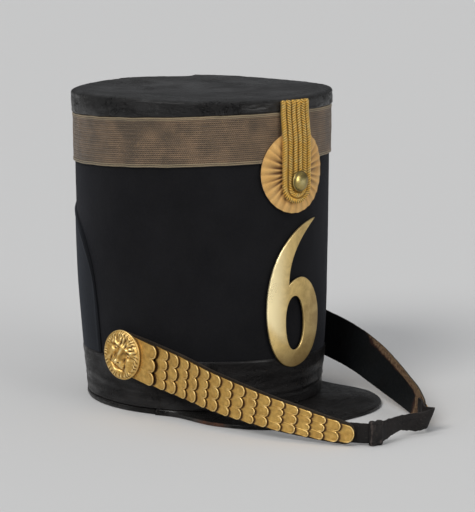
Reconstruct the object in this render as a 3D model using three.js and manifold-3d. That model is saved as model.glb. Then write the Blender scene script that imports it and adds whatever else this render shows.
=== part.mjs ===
// A tall cloth-covered military cap with a leather top and head band, a flat leather peak, a woven lace band,
// a pleated cockade with a cord loop and button, a brass numeral, lion's-head bosses and scaled chin straps
// that are joined by a leather tie. It stands on its peak and lower binding, with the straps laid out ahead.
// Millimetres, +Z up. The front faces -Y and the wearer's left is +X.
import * as THREE from "three";
import Module from "manifold-3d";

const wasm = await Module();
wasm.setup();

// Crown
const gap = 0.3; // clearance between pieces that touch
const crownHeight = 252; // table to the edge of the top leather
const topLength = 210; // the cloth crown's top, front to back
const topWidth = 208; // the cloth crown's top, side to side
const wallThickness = 3; // cloth over its stiff body
const crownSteps = 48; // sections round the crown
// Sections up the crown: up is a share of crownHeight, long and forward of topLength, left and right of topWidth.
// The wearer's right side has spread more towards its foot than the left one.
const crownSections = [
  { up: 0, long: 0.924, left: 0.837, right: 0.937, forward: 0.031 },
  { up: 0.08, long: 0.948, left: 0.865, right: 0.93, forward: 0.021 },
  { up: 0.18, long: 0.976, left: 0.913, right: 0.942, forward: 0.016 },
  { up: 0.39, long: 0.99, left: 0.962, right: 0.972, forward: 0.008 },
  { up: 0.7, long: 0.997, left: 0.99, right: 0.992, forward: 0.003 },
  { up: 1, long: 1, left: 1, right: 1, forward: 0 },
];

// Top leather and lace band
const topThickness = 2;
const topSag = 4; // how far the middle of the top has sunk
const topWave = 1; // how far its edge waves up and down
const topWaves = 3; // waves round the edge
const rimFront = 11; // height of the turned-down rim at the front
const rimBack = 21; // and at the back
const laceHeight = 39.5;
const laceThickness = 1.2;

// Head band, neck flap, lower binding
const bandHeight = 40; // table to the band's upper edge
const bandWave = 4.5; // its upper edge rises this much towards the wearer's right front
const bandWaveAngle = -40; // degrees from the front
const bandThickness = 1.5;
const flapHeight = 160; // table to the top of the neck flap
const flapAngle = 79; // half of the flap's width, in degrees round the back
const flapPower = 3.8; // squareness of its arched outline
const flapThickness = 1.2;
const bindingHeight = 4.7;
const bindingSpread = 0.6; // how far the binding stands out past what it carries

// Peak
const peakReach = 57; // past the crown at the front
const peakHalfWidth = 92;
const peakPower = 2.7; // squareness of its outline
const peakWingAngle = 68; // degrees from the front to where the peak starts
const peakEdge = 3.2; // thickness at its outer edge
const peakUndercut = 1.2; // how far its underside rises at the crown
const peakWingStep = 1.5; // how far the peak stands out where it starts
const peakOpening = 0.6; // share of the wing angle at which the outline starts to close in on the crown

// Cockade, loop and button
const cockadeRadius = 33;
const cockadeDrop = 59.5; // top edge of the crown to the cockade's middle
const cockadeThickness = 2.6;
const pleats = 26;
const pleatDepth = 0.6;
const cordRadius = 2.25;
const cordPairs = 3;
const cordSides = 8;
const loopDrop = 66; // top edge of the crown to the button's middle
const loopAside = -2.2; // the loop sits this far from the cockade's middle
const buttonRadius = 8.4;
const buttonHeight = 4;

// Numeral
const numeralFoot = 35.7; // table to the numeral's lowest point
const numeralClearance = 6; // the numeral's top to the cockade
const numeralShape = 0.478; // its width as a share of its height
const numeralThickness = 1.8;

// Bosses and scaled chin straps
const bossRadius = 20.5; // across the strap
const bossHalfLength = 18; // along the strap
const bossUp = 46.9;
const bossAngle = 82.3; // degrees from the front
const bossThickness = 2.2;
const bossRelief = 5.2;
const strapLength = 214; // from the boss's middle to the tip
const strapHalfWidth = 17;
const tipNarrowing = 0.594; // share of the width that is gone at the tip
const tipPower = 1.9; // how late the strap narrows
const backThickness = 1.6; // leather backing under the scales
const backMargin = 1.2; // how far the backing shows past the scales
const backStart = -9; // the backing starts behind the boss's middle
const scaleThickness = 0.9;
const scaleOverlap = 3;
const firstScaleStart = 7; // where the first plate starts, under the boss
const firstScaleEdge = 34; // where it ends
const lobeSteps = 4; // straight pieces in each lobe's round edge
const scaleLobes = [3, 4, 3, 4, 3, 4, 3, 4, 3, 4, 3, 4, 3, 4, 3, 2, 1];
// Routes of the two straps, as shares of strapLength: inward, towards the middle, and ahead.
const strapRoutes = {
  right: [[0, 0], [0.018, 0.126], [0.033, 0.288], [0.037, 0.442], [0.06, 0.581], [0.093, 0.702], [0.133, 0.795],
    [0.172, 0.884], [0.223, 0.967]],
  left: [[0, 0], [0.003, 0.11], [0.008, 0.225], [0.031, 0.35], [0.075, 0.475], [0.128, 0.6], [0.179, 0.715],
    [0.236, 0.826], [0.301, 0.933]],
};
// How far each strap leans outwards at its upper edge, in degrees at equal steps from the boss to the tip.
// At the boss itself it leans as the wall does.
const strapLeans = {
  right: [2, 0, 0, 0],
  left: [16, 21, 14, 1],
};

// Leather tie between the two tips, with its keeper
const tieWidth = 15.5;
const tieFlare = 3.5; // how much taller it stands at its fold
const tieFold = 0.86; // share of its length at the fold
const tieRise = 0.12; // share of its length over which it grows taller
const tieThickness = 1.8;
const tieOverlap = 9; // how far the tie lies along each strap's backing
const tieFoot = 1.9; // table to the tie's lower edge
const keeperLength = 11;
const keeperWall = 1.6;
// Route of the tie: across is a share of the way from the right tip to the left one, and ahead is in front of the right tip.
const tieRoute = [
  { across: 0.032, ahead: 4.7 },
  { across: 0.079, ahead: 8.9 },
  { across: 0.125, ahead: 10.9 },
  { across: 0.2, ahead: 11.5 },
  { across: 0.304, ahead: 9.5 },
  { across: 0.454, ahead: 7.7 },
  { across: 0.628, ahead: 8.9 },
  { across: 0.766, ahead: 11.3 },
  { across: 0.83, ahead: 11.9 },
  { across: 0.862, ahead: 9.2 },
  { across: 0.92, ahead: 1.5 },
];
const keeperAt = 0.22; // share of the tie's length from the right strap to the keeper's middle

const degrees = Math.PI / 180;
const mix = (a, b, share) => a + (b - a) * share;
const range = (count) => [...Array(count).keys()];
const clothTop = crownHeight - topThickness - gap;
const numeralHeight = crownHeight - cockadeDrop - cockadeRadius - numeralClearance - numeralFoot;
const numeralWidth = numeralHeight * numeralShape;

// Materials, with the colours of the worn original
function finish(color, roughness, metalness) {
  return new THREE.MeshStandardMaterial({ color, roughness, metalness });
}
const blackCloth = finish(0x15171c, 0.95, 0);
const blueCloth = finish(0x1b222b, 0.9, 0);
const blackLeather = finish(0x24211f, 0.55, 0);
const wornLeather = finish(0x3a2f27, 0.7, 0);
const tarnishedLace = finish(0x5d5142, 0.75, 0.2);
const goldSilk = finish(0xc8a262, 0.7, 0);
const goldCord = finish(0xc99a3c, 0.5, 0.6);
const brass = finish(0xa98a4a, 0.35, 1);
const gilt = finish(0xb58f3f, 0.45, 1);

// The cloth crown's half sizes and forward shift at a height; left and right are the wearer's
function sectionAt(up) {
  const share = THREE.MathUtils.clamp(up / crownHeight, 0, 1);
  const above = Math.max(1, crownSections.findIndex((row) => row.up >= share));
  const low = crownSections[above - 1];
  const high = crownSections[above];
  const part = (share - low.up) / (high.up - low.up);
  return {
    long: (mix(low.long, high.long, part) * topLength) / 2,
    left: (mix(low.left, high.left, part) * topWidth) / 2,
    right: (mix(low.right, high.right, part) * topWidth) / 2,
    forward: mix(low.forward, high.forward, part) * topLength,
  };
}

// A point of the crown: angle from the front towards the wearer's left, out from the cloth's face
function wallPoint(angle, up, out) {
  const section = sectionAt(up);
  const side = Math.sin(angle) < 0 ? section.right : section.left;
  const x = (side + out) * Math.sin(angle);
  const ahead = section.forward + (section.long + out) * Math.cos(angle);
  return new THREE.Vector3(x, -ahead, up);
}

// A point in front of the crown, x to the wearer's left along the wall
const frontPoint = (x, up, out) => wallPoint(x / sectionAt(up)[x < 0 ? "right" : "left"], up, out);

const topEdge = (angle) => crownHeight + topWave * Math.sin(topWaves * angle);
const rimLow = (angle) => crownHeight - mix(rimBack, rimFront, (1 + Math.cos(angle)) / 2);
const laceLow = (angle) => rimLow(angle) - gap - laceHeight;
const bandTop = (angle) => bandHeight + bandWave * Math.cos(angle - bandWaveAngle * degrees);

// The two triangulated ends of a loft need triangles that turn as the outline does.
function capTriangles(outline) {
  const normal = new THREE.Vector3();
  outline.forEach((point, i) => normal.add(point.clone().cross(outline[(i + 1) % outline.length])));
  normal.normalize();
  const across = new THREE.Vector3().subVectors(outline[1], outline[0]).projectOnPlane(normal).normalize();
  const along = new THREE.Vector3().crossVectors(normal, across);
  const flat = outline.map((point) => new THREE.Vector2(point.dot(across), point.dot(along)));
  return THREE.ShapeUtils.triangulateShape(flat, []).map(([a, b, c]) => {
    const turn = flat[b].clone().sub(flat[a]).cross(flat[c].clone().sub(flat[a]));
    return turn > 0 ? [a, b, c] : [a, c, b];
  });
}

// A solid through a row of outlines with the same number of points; a closed row joins its last to its first.
function loft(outlines, closed) {
  const count = outlines[0].length;
  const index = [];
  const spans = closed ? outlines.length : outlines.length - 1;
  for (const i of range(spans)) {
    const here = i * count;
    const next = ((i + 1) % outlines.length) * count;
    for (const j of range(count)) {
      const k = (j + 1) % count;
      index.push(here + j, next + j, next + k, here + j, next + k, here + k);
    }
  }
  if (!closed) {
    const last = (outlines.length - 1) * count;
    capTriangles(outlines[0]).forEach(([a, b, c]) => index.push(a, b, c));
    capTriangles(outlines.at(-1)).forEach(([a, b, c]) => index.push(last + a, last + c, last + b));
  }
  const geometry = new THREE.BufferGeometry().setFromPoints(outlines.flat());
  geometry.setIndex(index);
  return facingOut(geometry);
}

// A plate between two copies of one outline, with its faces triangulated on the flat outline
function slab(low, high, flat) {
  if (THREE.ShapeUtils.isClockWise(flat)) return slab(low.toReversed(), high.toReversed(), flat.toReversed());
  const count = flat.length;
  const index = [];
  THREE.ShapeUtils.triangulateShape(flat, []).forEach(([a, b, c]) => {
    const left = flat[b].clone().sub(flat[a]).cross(flat[c].clone().sub(flat[a])) > 0;
    const [p, q] = left ? [b, c] : [c, b];
    index.push(a, q, p, count + a, count + p, count + q);
  });
  for (const i of range(count)) {
    const next = (i + 1) % count;
    index.push(i, next, count + next, i, count + next, count + i);
  }
  const geometry = new THREE.BufferGeometry().setFromPoints([...low, ...high]);
  geometry.setIndex(index);
  return facingOut(geometry);
}

// Reverses a closed geometry's faces where they point inwards.
function facingOut(geometry) {
  const place = geometry.getAttribute("position");
  const index = geometry.index.array;
  const [a, b, c] = [new THREE.Vector3(), new THREE.Vector3(), new THREE.Vector3()];
  let volume = 0;
  for (let i = 0; i < index.length; i += 3) {
    a.fromBufferAttribute(place, index[i]);
    b.fromBufferAttribute(place, index[i + 1]);
    c.fromBufferAttribute(place, index[i + 2]);
    volume += a.dot(b.cross(c));
  }
  if (volume < 0) for (let i = 0; i < index.length; i += 3) [index[i], index[i + 1]] = [index[i + 1], index[i]];
  geometry.computeVertexNormals();
  return geometry;
}

// Booleans take indexed geometry in which no two vertices share a place.
function solidOf(geometry) {
  return new wasm.Manifold(
    new wasm.Mesh({
      numProp: 3,
      vertProperties: geometry.getAttribute("position").array,
      triVerts: new Uint32Array(geometry.index.array),
    }),
  );
}

function geometryOf(solid) {
  const mesh = solid.getMesh();
  const geometry = new THREE.BufferGeometry();
  geometry.setAttribute("position", new THREE.BufferAttribute(mesh.vertProperties, mesh.numProp));
  geometry.setIndex(new THREE.BufferAttribute(mesh.triVerts, 1));
  geometry.computeVertexNormals();
  return geometry;
}

const shako = new THREE.Group();
function add(name, geometry, material) {
  const mesh = new THREE.Mesh(geometry, material);
  mesh.name = name;
  shako.add(mesh);
}

// Angles from one to the other, both included
const arc = (from, to, steps) => range(steps + 1).map((i) => mix(from, to, i / steps));
const turn = range(crownSteps).map((i) => (i / crownSteps) * 2 * Math.PI);

// A layer that follows the crown at some angles. It bends where the crown's sections do, at any angle it reaches them.
function layer(angles, low, high, inner, outer) {
  const lowest = Math.min(...angles.map(low));
  const highest = Math.max(...angles.map(high));
  const bends = crownSections.map((row) => row.up * crownHeight).filter((up) => up > lowest && up < highest);
  return angles.map((angle) => {
    const within = (up, i) => {
      const step = 0.1 * (i + 1);
      return THREE.MathUtils.clamp(up, low(angle) + step, high(angle) - 0.1 * (bends.length - i));
    };
    const levels = [low(angle), ...bends.map(within), high(angle)];
    return [
      ...levels.map((up) => wallPoint(angle, up, outer)),
      ...levels.toReversed().map((up) => wallPoint(angle, up, inner)),
    ];
  });
}
const clothFoot = () => bindingHeight + gap;
add("crown_cloth", loft(layer(turn, clothFoot, () => clothTop - topWave, -wallThickness, 0), true), blackCloth);
const lace = layer(turn, laceLow, (angle) => rimLow(angle) - gap, gap, gap + laceThickness);
add("lace_band", loft(lace, true), tarnishedLace);
add("head_band", loft(layer(turn, clothFoot, bandTop, gap, gap + bandThickness), true), blackLeather);

// Top leather: a shallow lid whose rings run from the middle over the edge, down the rim and back inside
function topRings() {
  const ring = (place) => turn.map(place);
  const dish = (share) => topSag * (1 - share * share);
  const topAt = (share, drop) =>
    ring((angle) => {
      const edge = wallPoint(angle, crownHeight, 0);
      return new THREE.Vector3(edge.x * share, edge.y * share, topEdge(angle) - dish(share) - drop);
    });
  const outer = gap + topThickness;
  const rim = (out, up) => ring((angle) => wallPoint(angle, up(angle), out));
  return [
    topAt(0.2, 0),
    topAt(0.6, 0),
    topAt(0.93, 0),
    rim(outer * 0.3, (angle) => topEdge(angle) - 0.3),
    rim(outer * 0.85, (angle) => topEdge(angle) - 1.6),
    rim(outer, (angle) => topEdge(angle) - 4),
    rim(outer, rimLow),
    rim(gap, rimLow),
    rim(gap, (angle) => topEdge(angle) - topThickness),
    topAt(0.6, topThickness),
    topAt(0.2, topThickness),
  ];
}
add("top_leather", loft(topRings(), false), blackLeather);

// Neck flap: cloth turned up over the back, with an arched outline
const flapHalf = flapAngle * degrees;
const flapLow = (angle) => bandTop(angle) + gap;
function flapHigh(angle) {
  const share = Math.abs(angle - Math.PI) / flapHalf;
  return mix(flapLow(angle), flapHeight, (1 - share ** flapPower) ** (1 / flapPower));
}
const flapEnd = [0.975, 0.99, 0.999].map((share) => share * flapHalf);
const flapAngles = [
  ...flapEnd.toReversed().map((away) => Math.PI - away),
  ...turn.filter((angle) => Math.abs(angle - Math.PI) < 0.96 * flapHalf),
  ...flapEnd.map((away) => Math.PI + away),
];
add("neck_flap", loft(layer(flapAngles, flapLow, flapHigh, gap, gap + flapThickness), false), blueCloth);

// Lower binding: a folded leather strip under the wall, round the back from one end of the peak to the other
const footInner = -wallThickness - bindingSpread;
const footOuter = gap + bandThickness + bindingSpread;
const wingEnd = peakWingAngle * degrees;
const crack = 0.006; // half the angle of the slit between the peak and the binding, in radians
const bindingOutlines = arc(wingEnd + crack, 2 * Math.PI - wingEnd - crack, 30).map((angle) => [
  wallPoint(angle, 0, footInner),
  wallPoint(angle, bindingHeight, footInner),
  wallPoint(angle, bindingHeight, footOuter - 1),
  wallPoint(angle, bindingHeight - 1, footOuter),
  wallPoint(angle, 1, footOuter),
  wallPoint(angle, 0, footOuter - 1),
]);
add("lower_binding", loft(bindingOutlines, false), blackLeather);

// Peak: its outline is a squared ellipse round a middle that lies where the peak starts
const base = sectionAt(0);
const peakMiddle = base.forward + base.long * Math.cos(wingEnd);
const peakTip = base.forward + base.long + footOuter + peakReach;
function peakOutline(angle) {
  const crown = wallPoint(angle, 0, footOuter);
  const ahead = -crown.y - base.forward;
  const direction = Math.atan2(crown.x, ahead);
  const radius = (reach) =>
    (Math.abs(reach * Math.sin(direction)) / peakHalfWidth) ** peakPower +
    (Math.max(0, base.forward + reach * Math.cos(direction) - peakMiddle) / (peakTip - peakMiddle)) ** peakPower;
  let [near, far] = [0, 2 * peakTip];
  for (const _ of range(40)) {
    const middle = (near + far) / 2;
    if (radius(middle) < 1) near = middle;
    else far = middle;
  }
  const inner = Math.hypot(crown.x, ahead);
  const open = THREE.MathUtils.smoothstep(Math.abs(angle), wingEnd * peakOpening, wingEnd);
  const reach = Math.max(inner + peakWingStep, mix(near, inner + peakWingStep, open));
  return new THREE.Vector3(reach * Math.sin(direction), -base.forward - reach * Math.cos(direction), 0);
}
const peakOutlines = arc(-wingEnd + crack, wingEnd - crack, 32).map((angle) => {
  const outer = peakOutline(angle);
  const inner = wallPoint(angle, 0, footInner);
  const seat = wallPoint(angle, 0, footOuter);
  const raise = (point, up) => new THREE.Vector3(point.x, point.y, up);
  const between = (share) => seat.clone().lerp(outer, share);
  return [
    raise(inner, peakUndercut),
    raise(inner, bindingHeight),
    raise(seat, bindingHeight),
    raise(between(0.5), mix(bindingHeight, peakEdge, 0.35)),
    raise(between(0.96), peakEdge),
    raise(outer, peakEdge - 0.8),
    raise(outer, 0.8),
    raise(between(0.96), 0),
    raise(between(0.5), peakUndercut * 0.6),
  ];
});
add("peak", loft(peakOutlines, false), blackLeather);

// Cockade: a disc of radial pleats on the lace band
const laceFace = gap + laceThickness;
const cockadeBack = laceFace + gap;
const cockadeUp = crownHeight - cockadeDrop;
const cockadeRing = (share, height, depth) =>
  range(2 * pleats).map((i) => {
    const around = (i / pleats) * Math.PI;
    const radius = cockadeRadius * share;
    const fold = depth * (i % 2 ? 1 : -1);
    return frontPoint(radius * Math.sin(around), cockadeUp + radius * Math.cos(around), cockadeBack + height + fold);
  });
const cockadeRings = [
  cockadeRing(0.12, cockadeThickness * 0.7, 0),
  cockadeRing(0.42, cockadeThickness - pleatDepth, pleatDepth),
  cockadeRing(0.8, cockadeThickness - pleatDepth, pleatDepth * 0.7),
  cockadeRing(1, cockadeThickness * 0.45, pleatDepth * 0.4),
  ...[1, 0.75, 0.5, 0.28, 0.12].map((share) => cockadeRing(share, 0, 0)),
];
add("cockade", loft(cockadeRings, false), goldSilk);

// Loop: pairs of cords, each a narrow U round the button; the innermost pair ends under it
const cordPitch = 2 * cordRadius + gap;
const bendUp = crownHeight - loopDrop - buttonRadius / 2; // middle of the bends
const buttonUp = crownHeight - loopDrop;
const overRim = gap + topThickness + gap + cordRadius;
const overCockade = cockadeBack + cockadeThickness + gap + cordRadius;
function cordOut(up) {
  const cockadeTop = cockadeUp + cockadeRadius;
  const share = THREE.MathUtils.smoothstep(up, cockadeTop - cordRadius * 2, rimLow(0) - cordRadius);
  return mix(overCockade, overRim, share);
}
function cordPath(pair) {
  const half = (pair + 0.5) * cordPitch;
  const legTop = crownHeight - topWave - 1;
  const legs = arc(legTop, bendUp + cordPitch, 6);
  const bend = arc(0, Math.PI, 8).map((angle) => [half * Math.cos(angle), bendUp - half * Math.sin(angle)]);
  const line = [...legs.map((up) => [half, up]), ...bend, ...legs.toReversed().map((up) => [-half, up])];
  return new THREE.CatmullRomCurve3(line.map(([x, up]) => frontPoint(x + loopAside, up, cordOut(up))));
}
const cordSection = new THREE.Shape(
  range(cordSides).map((i) => {
    const around = ((i + 0.5) / cordSides) * 2 * Math.PI;
    return new THREE.Vector2(cordRadius * Math.cos(around), cordRadius * Math.sin(around));
  }),
);
range(cordPairs).forEach((pair) => {
  const settings = { steps: 24, bevelEnabled: false, extrudePath: cordPath(pair) };
  add(`loop_cord_${pair + 1}`, new THREE.ExtrudeGeometry(cordSection, settings), goldCord);
});

// Button: a dome over the end of the innermost cords
const buttonProfile = [[0, 0], [0.7, 0], [1, 0.2], [0.97, 0.45], [0.72, 0.8], [0.38, 0.97], [0, 1]];
const button = new THREE.LatheGeometry(
  buttonProfile.map(([across, up]) => new THREE.Vector2(across * buttonRadius, up * buttonHeight)),
  16,
);
button.rotateX(Math.PI);
const buttonSeat = frontPoint(loopAside, buttonUp, overCockade + cordRadius + gap);
button.translate(buttonSeat.x, buttonSeat.y, buttonSeat.z);
add("button", button, brass);

// Numeral: a plain figure cut from sheet that is bent to the crown. Its outline is in shares of its width and height.
const outlineStart = [0.917, 1];
const outlineCurves = [
  [[0.5, 0.985], [0, 0.8], [0, 0.4]],
  [[0, 0.17], [0.16, 0], [0.46, 0]],
  [[0.72, 0], [1, 0.13], [1, 0.33]],
  [[1, 0.47], [0.8, 0.6], [0.62, 0.61]],
  [[0.53, 0.612], [0.43, 0.595], [0.371, 0.564]],
  [[0.37, 0.75], [0.58, 0.9], [0.917, 1]],
];
const holeStart = [0.472, 0.486];
const holeCurves = [
  [[0.58, 0.486], [0.655, 0.4], [0.655, 0.295]],
  [[0.655, 0.19], [0.58, 0.117], [0.47, 0.117]],
  [[0.37, 0.117], [0.31, 0.2], [0.31, 0.31]],
  [[0.31, 0.41], [0.37, 0.486], [0.472, 0.486]],
];
function numeralBlank(start, curves) {
  const place = ([x, y]) => [(x - 0.5) * numeralWidth, numeralFoot + y * numeralHeight];
  const path = new THREE.Path();
  path.moveTo(...place(start));
  curves.forEach((points) => path.bezierCurveTo(...points.flatMap(place)));
  const outline = path.getPoints(8).slice(0, -1);
  const layer = (y) => outline.map((point) => new THREE.Vector3(point.x, y, point.y));
  return solidOf(slab(layer(0), layer(-topLength), outline));
}
const numeralBack = gap + bandThickness + gap;
const sheetHalf = Math.asin(numeralWidth / topWidth) * 1.3;
const sheetLevels = [0, ...crownSections.map((row) => row.up * crownHeight).filter((up) => up > 0)];
const sheet = loft(
  arc(-sheetHalf, sheetHalf, 16).map((angle) => [
    ...sheetLevels.map((up) => wallPoint(angle, up, numeralBack + numeralThickness)),
    ...sheetLevels.toReversed().map((up) => wallPoint(angle, up, numeralBack)),
  ]),
  false,
);
const figure = solidOf(sheet).intersect(numeralBlank(outlineStart, outlineCurves));
add("numeral", geometryOf(figure.subtract(numeralBlank(holeStart, holeCurves))), brass);

// Chin straps. A strap's own frame: along it, up across its width, and out from its backing.
// It leans out with the crown at the boss and by its own leans farther on.
const strapSeat = gap + bandThickness + gap;
function leanAt(side, share) {
  const spread = sectionAt(bossUp + strapHalfWidth)[side] - sectionAt(bossUp - strapHalfWidth)[side];
  const leans = [Math.atan(spread / strapHalfWidth / 2), ...strapLeans[side].map((lean) => lean * degrees)];
  const step = THREE.MathUtils.clamp(share, 0, 0.999) * (leans.length - 1);
  const before = Math.floor(step);
  return mix(leans[before], leans[before + 1], step - before);
}
function strapFrame(side) {
  const sign = side === "right" ? -1 : 1;
  const start = wallPoint(sign * bossAngle * degrees, bossUp, strapSeat);
  const plan = strapRoutes[side].map(([inward, ahead]) => new THREE.Vector3(-sign * inward, -ahead, 0));
  const flat = new THREE.CatmullRomCurve3(plan, false, "centripetal");
  const scale = strapLength / flat.getLength();
  const tipUp = strapHalfWidth * (1 - tipNarrowing) + backMargin + gap;
  const centre = (along) => {
    const share = along / strapLength;
    const point = flat.getPointAt(THREE.MathUtils.clamp(share, 0, 1)).multiplyScalar(scale).add(start);
    const beyond = along < 0 ? along : Math.max(0, along - strapLength);
    point.addScaledVector(flat.getTangentAt(along < 0 ? 0 : 1), beyond);
    point.z = mix(bossUp, tipUp, share);
    return point;
  };
  return (along, up, out) => {
    const ahead = centre(along + 0.5).sub(centre(along - 0.5)).normalize();
    const outward = new THREE.Vector3(-ahead.y, ahead.x, 0).multiplyScalar(sign).normalize();
    const across = new THREE.Vector3().crossVectors(ahead, outward).multiplyScalar(sign);
    const roll = -sign * leanAt(side, along / strapLength);
    across.applyAxisAngle(ahead, roll);
    outward.applyAxisAngle(ahead, roll);
    return centre(along).addScaledVector(across, up).addScaledVector(outward, out);
  };
}
const halfWidthAt = (along) => {
  const share = THREE.MathUtils.clamp(along / strapLength, 0, 1);
  return strapHalfWidth * (1 - tipNarrowing * share ** tipPower);
};

// Backing: a leather strip as long as the strap
function backing(frame) {
  const stations = arc(backStart, strapLength, 22);
  const outlines = stations.map((along) => {
    const fromStart = (along - backStart) / -backStart;
    const half = (halfWidthAt(along) + backMargin) * (fromStart < 1 ? mix(0.75, 1, fromStart) : 1);
    return [
      frame(along, -half, 0),
      frame(along, half, 0),
      frame(along, half, backThickness),
      frame(along, -half, backThickness),
    ];
  });
  return loft(outlines, false);
}

// A scale plate: straight at its hidden start, lobed at its free edge, and rising so that it laps the next one
const scalePitch = (strapLength - firstScaleEdge) / (scaleLobes.length - 1);
function scalePlate(frame, row) {
  const lobes = scaleLobes[row];
  const edge = firstScaleEdge + row * scalePitch;
  const start = row === 0 ? firstScaleStart : edge - scalePitch - scaleOverlap;
  const half = halfWidthAt(edge - scalePitch / 2) * (row === scaleLobes.length - 1 ? 0.92 : 1);
  const lobeHalf = half / lobes;
  const lobeReach = Math.min(scalePitch * 0.5, lobeHalf * 0.9);
  const outline = [new THREE.Vector2(start, -half), new THREE.Vector2(edge - lobeReach, -half)];
  for (const lobe of range(lobes)) {
    const middle = -half + (2 * lobe + 1) * lobeHalf;
    for (const step of range(lobeSteps)) {
      const around = ((step + 1) / lobeSteps) * Math.PI;
      const last = step === lobeSteps - 1;
      const along = edge - lobeReach + lobeReach * Math.sin(around);
      outline.push(new THREE.Vector2(last ? edge - lobeReach : along, middle - lobeHalf * Math.cos(around)));
    }
  }
  outline.push(new THREE.Vector2(start, half));
  const rise = (scaleThickness + gap * 1.2) / scalePitch;
  const lowAt = (along) => backThickness + gap + rise * (along - start);
  const layer = (thickness) => outline.map((p) => frame(p.x, p.y, lowAt(p.x) + thickness));
  return slab(layer(0), layer(scaleThickness), outline);
}

// Boss: a cast disc with a lion's mask in relief. The relief is a sum of soft mounds, in shares of the radius.
const maskMounds = [
  { x: 0, y: 0.02, wide: 0.55, tall: 0.62, rise: 0.5 }, // the head
  { x: 0, y: -0.28, wide: 0.25, tall: 0.2, rise: 0.42 }, // muzzle
  { x: 0, y: 0.0, wide: 0.11, tall: 0.34, rise: 0.3 }, // bridge of the nose
  { x: -0.22, y: 0.24, wide: 0.16, tall: 0.1, rise: 0.25 }, // brows
  { x: 0.22, y: 0.24, wide: 0.16, tall: 0.1, rise: 0.25 },
  { x: -0.4, y: 0.46, wide: 0.13, tall: 0.13, rise: 0.25 }, // ears
  { x: 0.4, y: 0.46, wide: 0.13, tall: 0.13, rise: 0.25 },
];
const maneTufts = 16;
function maskHeight(radius, around) {
  const [x, y] = [radius * Math.sin(around), radius * Math.cos(around)];
  const moundAt = (m) => m.rise * Math.exp(-(((x - m.x) / m.wide) ** 2) - ((y - m.y) / m.tall) ** 2);
  const face = maskMounds.reduce((sum, mound) => sum + moundAt(mound), 0);
  const mane = Math.exp(-(((radius - 0.8) / 0.2) ** 2)) * (0.3 + 0.14 * Math.cos(maneTufts * around));
  return face + mane;
}
function boss(frame) {
  const lap = ((scaleThickness + gap * 1.2) / scalePitch) * (bossRadius - firstScaleStart);
  const seat = backThickness + gap + scaleThickness + lap + gap;
  const ring = (share, height) =>
    range(2 * maneTufts).map((i) => {
      const around = (i / maneTufts) * Math.PI;
      const [along, up] = [bossHalfLength * Math.sin(around), bossRadius * Math.cos(around)];
      return frame(along * share, up * share, seat + height(share, around));
    });
  const relief = (share, around) => bossThickness + bossRelief * maskHeight(share, around);
  const shares = [0.06, 0.2, 0.34, 0.48, 0.62, 0.78, 0.93];
  const back = [1, 0.5, 0.06].map((share) => ring(share, () => 0));
  return loft([...shares.map((share) => ring(share, relief)), ring(1, () => bossThickness * 0.6), ...back], false);
}

const frames = {};
for (const side of ["right", "left"]) {
  frames[side] = strapFrame(side);
  add(`strap_backing_${side}`, backing(frames[side]), wornLeather);
  scaleLobes.forEach((_, row) => {
    const number = String(row + 1).padStart(2, "0");
    add(`scale_${side}_${number}`, scalePlate(frames[side], row), gilt);
  });
  add(`boss_${side}`, boss(frames[side]), gilt);
}

// Leather tie: it lies behind the end of each backing and folds back to the left strap
const tieBehind = -gap * 1.5 - tieThickness / 2;
const rightTip = frames.right(strapLength, 0, tieBehind);
const leftTip = frames.left(strapLength, 0, tieBehind);
const tiePlan = [
  frames.right(strapLength - tieOverlap, 0, tieBehind),
  frames.right(strapLength - tieOverlap / 2, 0, tieBehind),
  rightTip,
  ...tieRoute.map(({ across, ahead }) => new THREE.Vector3(mix(rightTip.x, leftTip.x, across), rightTip.y - ahead, 0)),
  leftTip,
  frames.left(strapLength - tieOverlap / 2, 0, tieBehind),
  frames.left(strapLength - tieOverlap, 0, tieBehind),
];
const tieLine = new THREE.CatmullRomCurve3(tiePlan.map((point) => point.setZ(tieFoot)), false, "centripetal");
// The tie's outline at a share of its length, grown by a margin all round; a sleeve is one such loft cut from another.
const tieOutline = (margin) => (share) => {
  const middle = tieLine.getPointAt(share);
  const ahead = tieLine.getTangentAt(share);
  const side = new THREE.Vector3(-ahead.y, ahead.x, 0).normalize();
  const flare = tieFlare * THREE.MathUtils.smoothstep(share, tieFold - tieRise, tieFold);
  const [low, high] = [tieFoot - Math.min(margin, tieFoot - gap), tieFoot + tieWidth + flare + margin];
  const corner = (out, up) => middle.clone().addScaledVector(side, out * (tieThickness / 2 + margin)).setZ(up);
  return [corner(-1, low), corner(1, low), corner(1, high), corner(-1, high)];
};
const tieSteps = 52;
add("tie_strap", loft(arc(0, 1, tieSteps).map(tieOutline(0)), false), wornLeather);

// Keeper: a sleeve that follows the tie
const keeperShare = keeperLength / tieLine.getLength() / 2;
const keeperBody = loft(arc(keeperAt - keeperShare, keeperAt + keeperShare, 6).map(tieOutline(keeperWall + gap)), false);
const keeperSlot = loft(arc(keeperAt - 2 * keeperShare, keeperAt + 2 * keeperShare, 12).map(tieOutline(gap)), false);
add("tie_keeper", geometryOf(solidOf(keeperBody).subtract(solidOf(keeperSlot))), wornLeather);

// The part's origin is the middle of its footprint on the table.
const extent = new THREE.Box3().setFromObject(shako, true);
const middle = extent.getCenter(new THREE.Vector3());
shako.children.forEach((mesh) => mesh.position.set(-middle.x, -middle.y, -extent.min.z));

export default shako;
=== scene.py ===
from math import atan, atan2, copysign, cos, degrees, exp, floor, hypot, pi, radians, sin, sqrt, tau

import bmesh
import bpy
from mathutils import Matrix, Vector, noise


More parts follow.
